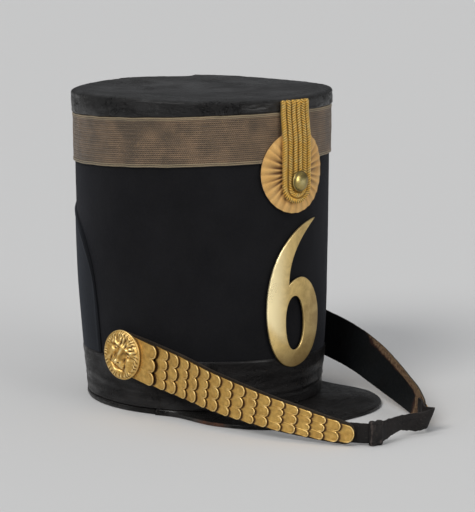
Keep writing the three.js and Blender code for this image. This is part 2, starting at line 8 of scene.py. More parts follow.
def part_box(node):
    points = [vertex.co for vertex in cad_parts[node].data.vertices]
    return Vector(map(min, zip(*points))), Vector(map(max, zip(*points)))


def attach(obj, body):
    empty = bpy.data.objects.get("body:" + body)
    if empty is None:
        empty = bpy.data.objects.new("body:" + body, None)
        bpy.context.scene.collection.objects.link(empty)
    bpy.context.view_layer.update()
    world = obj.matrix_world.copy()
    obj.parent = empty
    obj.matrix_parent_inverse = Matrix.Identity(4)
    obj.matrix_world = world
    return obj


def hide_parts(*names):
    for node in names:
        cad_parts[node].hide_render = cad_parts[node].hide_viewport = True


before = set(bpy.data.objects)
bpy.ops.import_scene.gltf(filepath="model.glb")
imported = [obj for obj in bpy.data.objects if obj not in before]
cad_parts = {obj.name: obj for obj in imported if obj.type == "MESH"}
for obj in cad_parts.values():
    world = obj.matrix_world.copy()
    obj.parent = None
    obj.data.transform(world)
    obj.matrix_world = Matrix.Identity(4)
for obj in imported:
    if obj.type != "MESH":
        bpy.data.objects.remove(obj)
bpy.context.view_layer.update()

mm = 0.001

# Crown: sections are (share of height, length share, left and right width shares, forward share)
crown = {
    "height": 252,
    "topLength": 210,
    "topWidth": 208,
    "wall": 3,
    "sections": [
        (0, 0.924, 0.837, 0.937, 0.031),
        (0.08, 0.948, 0.865, 0.93, 0.021),
        (0.18, 0.976, 0.913, 0.942, 0.016),
        (0.39, 0.99, 0.962, 0.972, 0.008),
        (0.7, 0.997, 0.99, 0.992, 0.003),
        (1, 1, 1, 1, 0),
    ],
    "gap": 0.3,
}
gap = crown["gap"]
topLow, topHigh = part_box("top_leather")
crownX = (topLow[0] + topHigh[0]) / 2  # the crown's axis on the table
crownY = (topLow[1] + topHigh[1]) / 2


def mix(a, b, share):
    return a + (b - a) * share


def smooth(low, high, value):
    share = min(1, max(0, (value - low) / (high - low)))
    return share * share * (3 - 2 * share)


def bump(distance, width):
    return exp(-((distance / width) ** 2))


def wobble(x, y=0.0, z=0.0):
    return noise.noise(Vector((x, y, z)))


# Noise that runs round the crown without a seam
def ringWobble(angle, size, third=0.0):
    return wobble(sin(angle) * size, cos(angle) * size, third)


def squarish(value, power):
    return copysign(abs(value) ** power, value)


# Moves shares from -1 to 1 closer to their ends
def crowded(share, power):
    return copysign(1 - (1 - abs(share)) ** power, share)


def sectionAt(up):
    rows = crown["sections"]
    share = min(1, max(0, up / crown["height"]))
    above = next(i for i, row in enumerate(rows) if i and row[0] >= share)
    low, high = rows[above - 1], rows[above]
    part = (share - low[0]) / (high[0] - low[0])
    before = rows[max(0, above - 2)]
    after = rows[min(len(rows) - 1, above + 1)]
    span = high[0] - low[0]

    def through(column):
        lowSlope = (high[column] - before[column]) / max(span, high[0] - before[0]) * span
        highSlope = (after[column] - low[column]) / max(span, after[0] - low[0]) * span
        a = 2 * part ** 3 - 3 * part ** 2 + 1
        b = part ** 3 - 2 * part ** 2 + part
        c = -2 * part ** 3 + 3 * part ** 2
        d = part ** 3 - part ** 2
        return a * low[column] + b * lowSlope + c * high[column] + d * highSlope

    length, width = crown["topLength"], crown["topWidth"]
    return through(1) * length / 2, through(2) * width / 2, through(3) * width / 2, through(4) * length


# A point of the crown: angle from the front to the wearer's left, height and distance out in mm
def wallPoint(angle, up, out):
    long, left, right, forward = sectionAt(up)
    x = ((right if sin(angle) < 0 else left) + out) * sin(angle)
    ahead = forward + (long + out) * cos(angle)
    return Vector((crownX + x * mm, crownY - ahead * mm, up * mm))


def frontPoint(x, up, out):
    return wallPoint(x / sectionAt(up)[2 if x < 0 else 1], up, out)


topShape = {
    "thickness": 2,
    "sag": 4,
    "wave": 1,
    "waves": 3,
    "rimFront": 11,
    "rimBack": 21,
    "fold": 1.4,
    "nicks": [178.6, 171.6],
    "turnDown": 3.2,
    "ripple": 0.5,
    "nickDepth": 1.3,
    "levels": (30, 7, 14, 10),
}
lace = {"height": 39.5, "thickness": 1.2, "ridge": 0.32, "swell": 0.45, "fineSwell": 0.25}
band = {
    "low": 5,
    "height": 40,
    "wave": 4.5,
    "waveAngle": radians(-40),
    "thickness": 1.5,
    "creaseUp": 14,
    "crease": 0.55,
    "levelCreases": 0.4,
    "swell": 0.3,
}


def topEdge(angle):
    turned = degrees(angle) % 360
    fold = topShape["fold"] * smooth(139, 142, turned) * (1 - smooth(150, 176, turned))
    return crown["height"] + topShape["wave"] * sin(topShape["waves"] * angle) - fold


def rimLow(angle):
    return crown["height"] - mix(topShape["rimBack"], topShape["rimFront"], (1 + cos(angle)) / 2)


def laceLow(angle):
    return rimLow(angle) - gap - lace["height"]


def bandTop(angle):
    return band["height"] + band["wave"] * cos(angle - band["waveAngle"])


# A tube of quads: place(i, j) gives each corner, i along the path and j round the section
def sweepInto(shape, spans, sides, place, uvAt, closedPath):
    uvLayer = shape.loops.layers.uv.get("UVMap") or shape.loops.layers.uv.new("UVMap")
    tone = shape.verts.layers.float.get("tone") or shape.verts.layers.float.new("tone")
    made = bmesh.ops.create_grid(shape, x_segments=spans, y_segments=sides, size=0.5)
    verts = made["verts"]
    steps = {}
    for vert in verts:
        steps[vert] = (round((vert.co.x + 0.5) * spans), round((vert.co.y + 0.5) * sides))
    faces = {face for vert in verts for face in vert.link_faces}
    for face in faces:
        face.smooth = True
        for loop in face.loops:
            loop[uvLayer].uv = uvAt(*steps[loop.vert])
    for vert in verts:
        i, j = steps[vert]
        spot = place(0 if closedPath and i == spans else i, j % sides)
        if isinstance(spot, tuple):
            vert[tone] = spot[1]
            spot = spot[0]
        vert.co = spot
    edges = {edge for face in faces for edge in face.edges}
    bmesh.ops.remove_doubles(shape, verts=verts, dist=1e-6)
    edges = [edge for edge in edges if edge.is_valid and edge.is_boundary]
    if edges:
        bmesh.ops.holes_fill(shape, edges=edges, sides=0)
    loose = [edge for edge in shape.edges if not edge.link_faces]
    if loose:
        bmesh.ops.delete(shape, geom=loose, context="EDGES")


def sweep(spans, sides, place, uvAt, closedPath):
    shape = bmesh.new()
    sweepInto(shape, spans, sides, place, uvAt, closedPath)
    bmesh.ops.recalc_face_normals(shape, faces=shape.faces)
    return shape


def addObject(name, data):
    made = bpy.data.objects.new(name, data)
    bpy.context.scene.collection.objects.link(made)
    return made


def makePiece(name, shape, materials, slotName, nodes, sharpAngle=40):
    mesh = bpy.data.meshes.new(name)
    shape.to_mesh(mesh)
    shape.free()
    for material in materials:
        mesh.materials.append(material)
    mesh.set_sharp_from_angle(angle=radians(sharpAngle))
    piece = addObject(name, mesh)
    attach(piece, "root")
    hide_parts(*nodes)
    return piece


# A layer on the crown: face gives its outer side, from low to high, and the inner side is plain
def makeLayer(name, spans, levels, backLevels, limits, face, backOut, uvAt, closedPath, look, node):
    def spot(i, j):
        angle, low, high, *rest = limits(i)
        if j < levels:
            return face(angle, low, high, j / (levels - 1), *rest)
        return wallPoint(angle, mix(high, low, (j - levels) / backLevels), backOut)

    material, slotName = look
    shape = sweep(spans, levels + backLevels + 1, spot, uvAt, closedPath)
    makePiece(name, shape, [material], slotName, [node])


# Node helpers
def addNode(tree, kind, settings=None, inputs=None):
    node = tree.nodes.new(kind)
    for name, value in (settings or {}).items():
        setattr(node, name, value)
    for name, value in (inputs or {}).items():
        if isinstance(value, bpy.types.NodeSocket):
            tree.links.new(value, node.inputs[name])
        else:
            node.inputs[name].default_value = value
    return node


def calc(tree, operation, a, b=0.5, clamp=False):
    settings = {"operation": operation, "use_clamp": clamp}
    return addNode(tree, "ShaderNodeMath", settings, {0: a, 1: b}).outputs[0]


def times(tree, a, b, clamp=False):
    return calc(tree, "MULTIPLY", a, b, clamp)


def plus(tree, a, b, clamp=False):
    return calc(tree, "ADD", a, b, clamp)


def minus(tree, a, b):
    return calc(tree, "SUBTRACT", a, b)


def triangle(tree, value):
    return times(tree, calc(tree, "PINGPONG", value, 0.5), 2.0)


def shade(red, green, blue):
    def linear(value):
        value /= 255
        return value / 12.92 if value < 0.04045 else ((value + 0.055) / 1.055) ** 2.4
    return (linear(red), linear(green), linear(blue), 1)


# Colours are sockets, or red, green and blue up to 255
def mixColour(tree, factor, *colours):
    a, b = [shade(*colour) if isinstance(colour, tuple) else colour for colour in colours]
    return addNode(tree, "ShaderNodeMix", {"data_type": "RGBA"}, {0: factor, 6: a, 7: b}).outputs[2]


# Lays each (mask, colour) over what is there
def layered(tree, colour, *layers):
    for mask, over in layers:
        colour = mixColour(tree, mask, colour, over)
    return colour


def spread(tree, value, fromLow, fromHigh, toLow=0.0, toHigh=1.0):
    inputs = {0: value, 1: fromLow, 2: fromHigh, 3: toLow, 4: toHigh}
    return addNode(tree, "ShaderNodeMapRange", {"clamp": True}, inputs).outputs[0]


def noiseAt(tree, vector, scale, detail=3.0, roughness=0.55, distortion=0.0):
    inputs = {"Vector": vector, "Scale": scale, "Detail": detail, "Roughness": roughness}
    inputs["Distortion"] = distortion
    return addNode(tree, "ShaderNodeTexNoise", None, inputs).outputs[0]


def stretched(tree, vector, x, y, z):
    return addNode(tree, "ShaderNodeMapping", None, {"Vector": vector, "Scale": (x, y, z)}).outputs[0]


def splitUp(tree, vector):
    return addNode(tree, "ShaderNodeSeparateXYZ", None, {0: vector}).outputs


def uvOf(tree):
    return addNode(tree, "ShaderNodeUVMap", {"uv_map": "UVMap"}).outputs[0]


def toneOf(tree):
    return addNode(tree, "ShaderNodeAttribute", {"attribute_name": "tone"}).outputs["Fac"]


# Every group takes a vector and these numbers; build gives its outputs in order
def makeGroup(name, build, numbers, outputs):
    group = bpy.data.node_groups.new(name, "ShaderNodeTree")
    group.interface.new_socket(name="Vector", in_out="INPUT", socket_type="NodeSocketVector")
    for label, value in numbers.items():
        socket = group.interface.new_socket(name=label, in_out="INPUT", socket_type="NodeSocketFloat")
        socket.default_value = value
    for label in outputs:
        group.interface.new_socket(name=label, in_out="OUTPUT", socket_type="NodeSocketFloat")
    start = group.nodes.new("NodeGroupInput").outputs
    end = group.nodes.new("NodeGroupOutput").inputs
    for label, value in zip(outputs, build(group, start, start["Vector"])):
        group.links.new(value, end[label])
    return group


# Leather grain: pebbled cells with fine pores and long creases
def leatherGrain(tree, given, vector):
    inputs = {"Vector": vector, "Scale": given["Pebble"]}
    cells = addNode(tree, "ShaderNodeTexVoronoi", {"feature": "DISTANCE_TO_EDGE"}, inputs)
    pebble = spread(tree, cells.outputs["Distance"], 0.0, 0.25)
    bent = noiseAt(tree, vector, 60.0, 4.0, 0.6, 1.6)
    crease = spread(tree, calc(tree, "ABSOLUTE", minus(tree, bent, 0.5)), 0.0, 0.03, 1.0, 0.0)
    patches = spread(tree, noiseAt(tree, vector, 24.0, 2.0), 0.48, 0.62)
    crease = times(tree, times(tree, crease, patches), given["Creasing"])
    height = plus(tree, times(tree, pebble, 0.25), noiseAt(tree, vector, 180.0, 4.0))
    return minus(tree, height, crease), crease


# Wear: rubbed patches and scratches, strongest where the piece's own tone says so
def rubbedWear(tree, given, vector):
    patch = noiseAt(tree, vector, given["Size"], 6.0, 0.68)
    lifted = plus(tree, patch, times(tree, given["Edge"], 0.35))
    level = minus(tree, 0.95, times(tree, given["Amount"], 0.45))
    fine = noiseAt(tree, stretched(tree, vector, 1, 1, 7), 320.0, 2.0)
    return times(tree, minus(tree, lifted, level), 7.0, True), spread(tree, fine, 0.66, 0.74)


# Dust: pale motes that settle on what faces up
def settledDust(tree, given, vector):
    facing = splitUp(tree, tree.nodes.new("ShaderNodeNewGeometry").outputs["Normal"])
    upward = spread(tree, facing[2], -0.2, 0.9, 0.35, 1.0)
    motes = spread(tree, noiseAt(tree, vector, 1500.0, 2.0), 0.6, 0.72)
    haze = spread(tree, noiseAt(tree, vector, 45.0, 4.0), 0.4, 0.75)
    both = plus(tree, times(tree, haze, 0.4), motes)
    return [times(tree, times(tree, both, upward), given["Amount"], True)]


# Tarnish: cloudy darkening of brass and gilt
def cloudyTarnish(tree, given, vector):
    cloud = noiseAt(tree, vector, given["Size"], 5.0, 0.62, 0.4)
    spots = spread(tree, noiseAt(tree, vector, 900.0, 3.0), 0.62, 0.75)
    both = plus(tree, spread(tree, cloud, 0.4, 0.72), times(tree, spots, 0.5))
    return times(tree, both, given["Amount"], True), noiseAt(tree, vector, 1600.0, 3.0)


# Cloth: fibres of a felted weave
def feltedNap(tree, given, vector):
    fibre = noiseAt(tree, vector, given["Fibre"], 4.0, 0.7, 0.6)
    height = plus(tree, fibre, times(tree, noiseAt(tree, vector, 420.0, 3.0), 0.8))
    fleck = spread(tree, noiseAt(tree, vector, 1300.0, 2.0), 0.68, 0.76)
    return height, fleck, noiseAt(tree, vector, 16.0, 4.0, 0.6)


groupRows = [
    ("leatherGrain", leatherGrain, {"Pebble": 900.0, "Creasing": 0.5}, ["Height", "Crease"]),
    ("rubbedWear", rubbedWear, {"Size": 90.0, "Amount": 0.5, "Edge": 0.0}, ["Mask", "Scratch"]),
    ("settledDust", settledDust, {"Amount": 0.3}, ["Mask"]),
    ("cloudyTarnish", cloudyTarnish, {"Size": 60.0, "Amount": 0.5}, ["Mask", "Height"]),
    ("feltedNap", feltedNap, {"Fibre": 2200.0}, ["Height", "Fleck", "Cloud"]),
]
groups = {row[0]: makeGroup(*row) for row in groupRows}


def useGroup(tree, name, **inputs):
    return addNode(tree, "ShaderNodeGroup", {"node_tree": groups[name]}, inputs).outputs


def newMaterial(name, fixed):
    material = bpy.data.materials.new(name)
    material.use_nodes = True
    tree = material.node_tree
    shader = tree.nodes["Principled BSDF"]
    for socket, value in fixed.items():
        shader.inputs[socket].default_value = value
    objectAt = addNode(tree, "ShaderNodeTexCoord").outputs["Object"]
    return material, tree, shader, objectAt


def feed(tree, shader, colour, roughness, metallic, height, depth, strength):
    inputs = {"Height": height, "Distance": depth, "Strength": strength}
    normal = addNode(tree, "ShaderNodeBump", None, inputs).outputs[0]
    sockets = {"Base Color": colour, "Roughness": roughness, "Metallic": metallic, "Normal": normal}
    for name, value in sockets.items():
        if value:
            tree.links.new(value, shader.inputs[name])


def clothMaterial(name, look):
    material, tree, shader, at = newMaterial(name, {
        "Sheen Weight": look["sheen"], "Sheen Roughness": 0.5, "Sheen Tint": look["sheenTint"],
        "Specular IOR Level": 0.2,
    })
    nap = useGroup(tree, "feltedNap", Vector=at, Fibre=look["fibre"])
    dust = useGroup(tree, "settledDust", Vector=at, Amount=look["dust"])
    colour = layered(
        tree, look["dark"],
        (spread(tree, nap["Cloud"], 0.35, 0.65), look["light"]),
        (times(tree, nap["Fleck"], look["fleck"]), look["fleckColour"]),
        (dust["Mask"], look["dustColour"]),
    )
    roughness = spread(tree, nap["Height"], 0.4, 1.4, 0.82, 0.98)
    feed(tree, shader, colour, roughness, None, nap["Height"], 0.0004, look["relief"])
    return material


def leatherMaterial(name, look):
    material, tree, shader, at = newMaterial(name, {
        "Specular IOR Level": look["gloss"], "Coat Roughness": 0.25,
    })
    tone = toneOf(tree)
    grain = useGroup(tree, "leatherGrain", Vector=at, Pebble=look["pebble"], Creasing=look["creasing"])
    wear = useGroup(tree, "rubbedWear", Vector=at, Size=look["wearSize"], Amount=look["wear"], Edge=tone)
    dust = useGroup(tree, "settledDust", Vector=at, Amount=look["dust"])
    # Light patches stretched into level streaks: the leather's uneven colour, and, where streak is above 1
    # (lid, band, peak), painted sheen streaks
    streaked = stretched(tree, at, 1, 1, look["streak"])
    cloud = spread(tree, noiseAt(tree, streaked, 26.0, 5.0, 0.58), 0.32, 0.7)
    glossy = noiseAt(tree, streaked, 30.0, 3.0, 0.5)
    tree.links.new(spread(tree, glossy, 0.42, 0.64, 0.0, look["coat"]), shader.inputs["Coat Weight"])
    mottled = spread(tree, noiseAt(tree, at, 600.0, 5.0, 0.72), 0.4, 0.62)
    bare = mixColour(tree, mottled, look["bare"], look["worn"])
    frayed = plus(tree, tone, times(tree, noiseAt(tree, at, 420.0, 4.0, 0.7), 0.9))
    colour = layered(
        tree, look["dark"],
        (cloud, look["light"]),
        (wear["Mask"], look["worn"]),
        # Crease lines darkened: painted shade in the creases
        (times(tree, grain["Crease"], 0.8, True), look["crease"]),
        (times(tree, wear["Scratch"], look["scratch"]), look["scratchColour"]),
        (spread(tree, frayed, 1.75, 1.95), bare),
        (dust["Mask"], look["dustColour"]),
    )
    roughness = spread(tree, grain["Height"], 0.2, 1.1, *look["rough"])
    roughness = plus(tree, roughness, times(tree, wear["Mask"], 0.2), True)
    feed(tree, shader, colour, roughness, None, grain["Height"], look["depth"], look["relief"])
    return material


def metalMaterial(name, look):
    material, tree, shader, at = newMaterial(name, {"Specular IOR Level": 0.5})
    tone = toneOf(tree)
    tarnish = useGroup(tree, "cloudyTarnish", Vector=at, Size=look["cloud"], Amount=look["tarnish"])
    wear = useGroup(tree, "rubbedWear", Vector=at, Size=260.0, Amount=0.4, Edge=tone)
    # Mesh tone: above zero mixes toward bright as painted highlight, below zero toward deep as painted shade;
    # on the gilt it also carries random mottling
    low = spread(tree, tone, -1.0, 0.0, 1.0, 0.0)
    high = spread(tree, tone, 0.0, 1.0)
    colour = layered(
        tree, look["base"],
        (tarnish["Mask"], look["dull"]),
        (high, look["bright"]),
        (times(tree, low, look["grimeAndShade"]), look["deep"]),
        (times(tree, wear["Scratch"], 0.3), look["bright"]),
    )
    roughness = plus(tree, spread(tree, high, 0.0, 1.0, look["rough"], look["rough"] - 0.1),
                     times(tree, tarnish["Mask"], 0.22), True)
    metallic = spread(tree, low, 0.0, 1.0, look["metal"], 0.3)
    feed(tree, shader, colour, roughness, metallic, tarnish["Height"], 0.0001, look["relief"])
    return material


paint = {
    "cloth": {
        "dark": (8, 8, 11), "light": (15, 15, 18), "sheen": 0.045, "sheenTint": (0.75, 0.8, 1, 1),
        "fibre": 2200.0, "fleck": 0.3, "fleckColour": (50, 50, 54), "dust": 0.06,
        "dustColour": (100, 97, 92), "relief": 0.7,
    },
    "flap": {
        "dark": (12, 14, 18), "light": (19, 21, 26), "sheen": 0.06, "sheenTint": (0.7, 0.8, 1, 1),
        "fibre": 3000.0, "fleck": 0.2, "fleckColour": (60, 62, 68), "dust": 0.07,
        "dustColour": (100, 97, 92), "relief": 0.5,
    },
    "lid": {
        "dark": (17, 17, 18), "light": (27, 26, 26), "worn": (70, 68, 67), "crease": (6, 6, 6),
        "bare": (70, 64, 60), "scratch": 0.2, "scratchColour": (110, 106, 102), "dust": 0.05,
        "streak": 3, "dustColour": (110, 106, 100), "gloss": 0.24, "coat": 0.42, "pebble": 1100.0,
        "creasing": 0.9, "wearSize": 60.0, "wear": 0.42, "rough": (0.26, 0.52), "relief": 1.0,
        "depth": 0.0012,
    },
    "band": {
        "dark": (9, 8, 9), "light": (25, 23, 23), "worn": (56, 51, 50), "crease": (6, 5, 5),
        "bare": (70, 60, 54), "scratch": 0.2, "scratchColour": (100, 94, 90), "dust": 0.04, "streak": 4,
        "dustColour": (100, 96, 90), "gloss": 0.16, "coat": 0.4, "pebble": 1000.0, "creasing": 0.9,
        "wearSize": 48.0, "wear": 0.4, "rough": (0.3, 0.55), "relief": 0.8, "depth": 0.0008,
    },
    "peak": {
        "dark": (8, 7, 7), "light": (25, 23, 22), "worn": (62, 57, 54), "crease": (5, 4, 4),
        "bare": (100, 62, 44), "scratch": 0.3, "scratchColour": (96, 90, 84), "dust": 0.05, "streak": 2,
        "dustColour": (104, 98, 92), "gloss": 0.17, "coat": 0.5, "pebble": 900.0, "creasing": 1.0,
        "wearSize": 90.0, "wear": 0.42, "rough": (0.26, 0.5), "relief": 1.0, "depth": 0.0012,
    },
    "tie": {
        "dark": (10, 8, 8), "light": (30, 25, 24), "worn": (62, 55, 52), "crease": (6, 5, 5),
        "bare": (82, 50, 38), "streak": 1, "scratch": 0.3, "scratchColour": (120, 112, 104),
        "dust": 0.08, "dustColour": (110, 104, 96), "gloss": 0.22, "coat": 0.1, "pebble": 1200.0,
        "creasing": 1.0, "wearSize": 130.0, "wear": 0.36, "rough": (0.45, 0.75), "relief": 0.8,
        "depth": 0.0005,
    },
    "backing": {
        "dark": (26, 21, 16), "light": (58, 48, 36), "worn": (112, 94, 68), "crease": (14, 10, 7),
        "bare": (120, 96, 66), "streak": 1, "scratch": 0.3, "scratchColour": (140, 124, 96),
        "dust": 0.08, "dustColour": (120, 110, 100), "gloss": 0.3, "coat": 0.0, "pebble": 1300.0,
        "creasing": 0.5, "wearSize": 160.0, "wear": 0.34, "rough": (0.55, 0.8), "relief": 0.6,
        "depth": 0.0004,
    },
    "lining": {
        "dark": (5, 5, 5), "light": (11, 16, 19), "worn": (52, 30, 24), "crease": (3, 3, 3),
        "bare": (132, 108, 82), "streak": 1, "scratch": 0.12, "scratchColour": (60, 68, 68),
        "dust": 0.03, "dustColour": (80, 80, 78), "gloss": 0.2, "coat": 0.0, "pebble": 1500.0,
        "creasing": 0.6, "wearSize": 120.0, "wear": 0.25, "rough": (0.6, 0.85), "relief": 0.8,
        "depth": 0.0005,
    },
    "gilt": {
        "base": (226, 184, 102), "dull": (168, 124, 60), "bright": (252, 224, 158), "deep": (70, 42, 14),
        "cloud": 140.0, "tarnish": 0.6, "grimeAndShade": 1.0, "rough": 0.46, "metal": 0.85, "relief": 0.5,
    },
    "numeral": {
        "base": (228, 198, 130), "dull": (142, 112, 60), "bright": (255, 237, 186), "deep": (86, 62, 30),
        "cloud": 70.0, "tarnish": 0.7, "grimeAndShade": 0.9, "rough": 0.36, "metal": 0.85, "relief": 0.12,
    },
    "button": {
        "base": (176, 154, 92), "dull": (104, 92, 52), "bright": (240, 226, 166), "deep": (50, 44, 22),
        "cloud": 240.0, "tarnish": 0.75, "grimeAndShade": 0.9, "rough": 0.26, "metal": 1.0, "relief": 0.2,
    },
}

cloth = clothMaterial("feltedCloth", paint["cloth"])
flapCloth = clothMaterial("flapCloth", paint["flap"])
lidLeather = leatherMaterial("lidLeather", paint["lid"])
bandLeather = leatherMaterial("bandLeather", paint["band"])
peakLeather = leatherMaterial("peakLeather", paint["peak"])
tieLeather = leatherMaterial("tieLeather", paint["tie"])
backingLeather = leatherMaterial("backingLeather", paint["backing"])
liningLeather = leatherMaterial("liningLeather", paint["lining"])
gilt = metalMaterial("stampedGilt", paint["gilt"])
numeralBrass = metalMaterial("numeralBrass", paint["numeral"])
buttonBrass = metalMaterial("buttonBrass", paint["button"])


# Lace: chevron rows between corded edges; the UV map is in millimetres along and across
laceLook = {
    "thread": (150, 122, 93), "tarnished": (110, 91, 70), "edge": (166, 152, 122), "gap": (26, 21, 17),
    "gleam": (206, 176, 126), "row": 1.6, "stitch": 1.5, "edgeWidth": 2.6,
}


def laceMaterial():
    material, tree, shader, at = newMaterial("tarnishedLace", {"Sheen Weight": 0.15})
    uv = uvOf(tree)
    along, across, _ = splitUp(tree, uv)
    row = calc(tree, "DIVIDE", across, laceLook["row"])
    slant = calc(tree, "PINGPONG", row, 1.0)
    stitch = plus(tree, calc(tree, "DIVIDE", along, laceLook["stitch"]), slant)
    thread = triangle(tree, stitch)
    rowRidge = triangle(tree, row)
    height = plus(tree, times(tree, thread, 0.8), rowRidge)
    edge = toneOf(tree)
    cloud = spread(tree, noiseAt(tree, at, 34.0, 6.0, 0.66), 0.4, 0.6)
    glints = spread(tree, noiseAt(tree, at, 900.0, 2.0), 0.6, 0.72)
    streaks = noiseAt(tree, stretched(tree, uv, 0.05, 1.4, 1), 1.0, 3.0, 0.7)
    dim = spread(tree, height, 0.3, 1.45, 0.12, 1.0)
    dim = times(tree, dim, spread(tree, streaks, 0.3, 0.7, 0.6, 1.15))
    colour = layered(
        tree, laceLook["gap"],
        (dim, mixColour(tree, cloud, laceLook["tarnished"], laceLook["thread"])),
        # Corded edges: the pale edge colour on ridge tops, and painted shade in the gap colour in their
        # grooves
        (spread(tree, edge, 0.1, 0.9, 0.0, 0.8), laceLook["edge"]),
        (spread(tree, edge, -0.6, 0.0, 0.8, 0.0), laceLook["gap"]),
        (times(tree, glints, 0.2), laceLook["gleam"]),
    )
    metallic = spread(tree, glints, 0.0, 1.0, 0.15, 0.6)
    feed(tree, shader, colour, spread(tree, thread, 0.0, 1.0, 0.75, 0.55), metallic, height, 0.0005, 0.7)
    return material


# Silk: fine radial ribs, and painted shade in the folds from the fold's depth in tone
silkLook = {
    "silk": (222, 172, 98), "shadow": (84, 48, 16), "faded": (232, 188, 118),
}


def silkMaterial():
    material, tree, shader, at = newMaterial("pleatedSilk", {
        "Sheen Weight": 0.25, "Sheen Roughness": 0.4, "Specular IOR Level": 0.35,
    })
    ribs = noiseAt(tree, stretched(tree, uvOf(tree), 1, 0.06, 1), 7.0, 2.0)
    colour = layered(
        tree, silkLook["silk"],
        (spread(tree, noiseAt(tree, at, 90.0, 4.0), 0.35, 0.7), silkLook["faded"]),
        (spread(tree, ribs, 0.35, 0.6, 0.25, 0.0), silkLook["shadow"]),
        (spread(tree, toneOf(tree), -1.0, -0.05, 0.95, 0.0), silkLook["shadow"]),
    )
    feed(tree, shader, colour, spread(tree, ribs, 0.3, 0.7, 0.55, 0.75), None, ribs, 0.0004, 0.6)
    return material


# Gold cord: wound thread in the UV map, with painted shade between the strands
cordLook = {
    "thread": (255, 203, 92), "dark": (66, 36, 8), "bright": (255, 226, 150), "winding": 4.5,
}


def cordMaterial():
    material, tree, shader, at = newMaterial("goldCord", {"Specular IOR Level": 0.5})
    along, around, _ = splitUp(tree, uvOf(tree))
    wound = triangle(tree, plus(tree, times(tree, along, cordLook["winding"]), times(tree, around, 3.0)))
    worn = spread(tree, noiseAt(tree, at, 300.0, 3.0), 0.4, 0.7)
    colour = layered(
        tree, cordLook["thread"],
        (worn, cordLook["bright"]),
        (spread(tree, toneOf(tree), -0.9, 0.25, 1.0, 0.0), cordLook["dark"]),
        (spread(tree, wound, 0.0, 0.35, 0.25, 0.0), cordLook["dark"]),
    )
    roughness = spread(tree, worn, 0.0, 1.0, 0.5, 0.38)
    feed(tree, shader, colour, roughness, spread(tree, worn, 0.0, 1.0, 0.45, 0.6), wound, 0.0002, 0.6)
    return material


laceWeave = laceMaterial()
silk = silkMaterial()
cordGold = cordMaterial()
print("materials made")


# Crown cloth: one tube, its outer face gently uneven
crownMesh = {
    "spans": 192,
    "levels": 64,
    "backLevels": 4,
    "low": 5,
    "high": 248.7,
    "unevenness": 0.5,
    "fineUnevenness": 0.18,
    "limit": 0.25,
}


def makeCrown():
    spans, levels, back = crownMesh["spans"], crownMesh["levels"], crownMesh["backLevels"]
    low, high = crownMesh["low"], crownMesh["high"]

    def face(angle, low, high, share):
        up = mix(low, high, share)
        out = crownMesh["unevenness"] * ringWobble(angle, 2, up / 60)
        out += crownMesh["fineUnevenness"] * ringWobble(angle, 9, up / 14)
        return wallPoint(angle, up, min(out, crownMesh["limit"]))

    def uvAt(i, j):
        up = mix(low, high, j / (levels - 1)) if j < levels else mix(high, low, (j - levels) / back)
        return (i / spans * 640, up)

    def limits(i):
        return i / spans * tau, low, high

    look, inside = (cloth, "black_cloth"), -crown["wall"]
    makeLayer("crownCloth", spans, levels, back, limits, face, inside, uvAt, True, look, "crown_cloth")


# Neck flap: arched patch on the back with a turned edge
flap = {
    "top": 160,
    "half": radians(79),
    "power": 3.8,
    "thickness": 1.2,
    "bulge": 1.6,
    "bulgeUp": 132,
    "hem": 0.45,
    "hemAt": 2.2,
    "unevenness": 0.35,
}


def makeFlap():
    spans, levels = 120, 44

    def limits(i):
        share = crowded(mix(-0.999, 0.999, i / spans), 1.35)
        angle = pi + share * flap["half"]
        low = bandTop(angle) + gap
        arch = (1 - abs(share) ** flap["power"]) ** (1 / flap["power"])
        return angle, low, mix(low, flap["top"], arch), share

    def face(angle, low, high, part, share):
        up = mix(low, high, part)
        edge = min(high - up, (1 - abs(share)) * flap["half"] * 100)
        hem = flap["hem"] * bump(edge - flap["hemAt"], 1.4)
        out = gap + flap["thickness"] + hem - 0.5 * bump(edge, 0.9)
        out += flap["unevenness"] * ringWobble(angle, 3, up / 40)
        out += flap["bulge"] * bump(up - flap["bulgeUp"], 26) * smooth(0.55, 0.95, share)
        return wallPoint(angle, up, out)

    def uvAt(i, j):
        return (i * 2.2, min(j, levels) * 2.6)

    look = (flapCloth, "blue_cloth")
    makeLayer("neckFlap", spans, levels, 2, limits, face, gap, uvAt, False, look, "neck_flap")


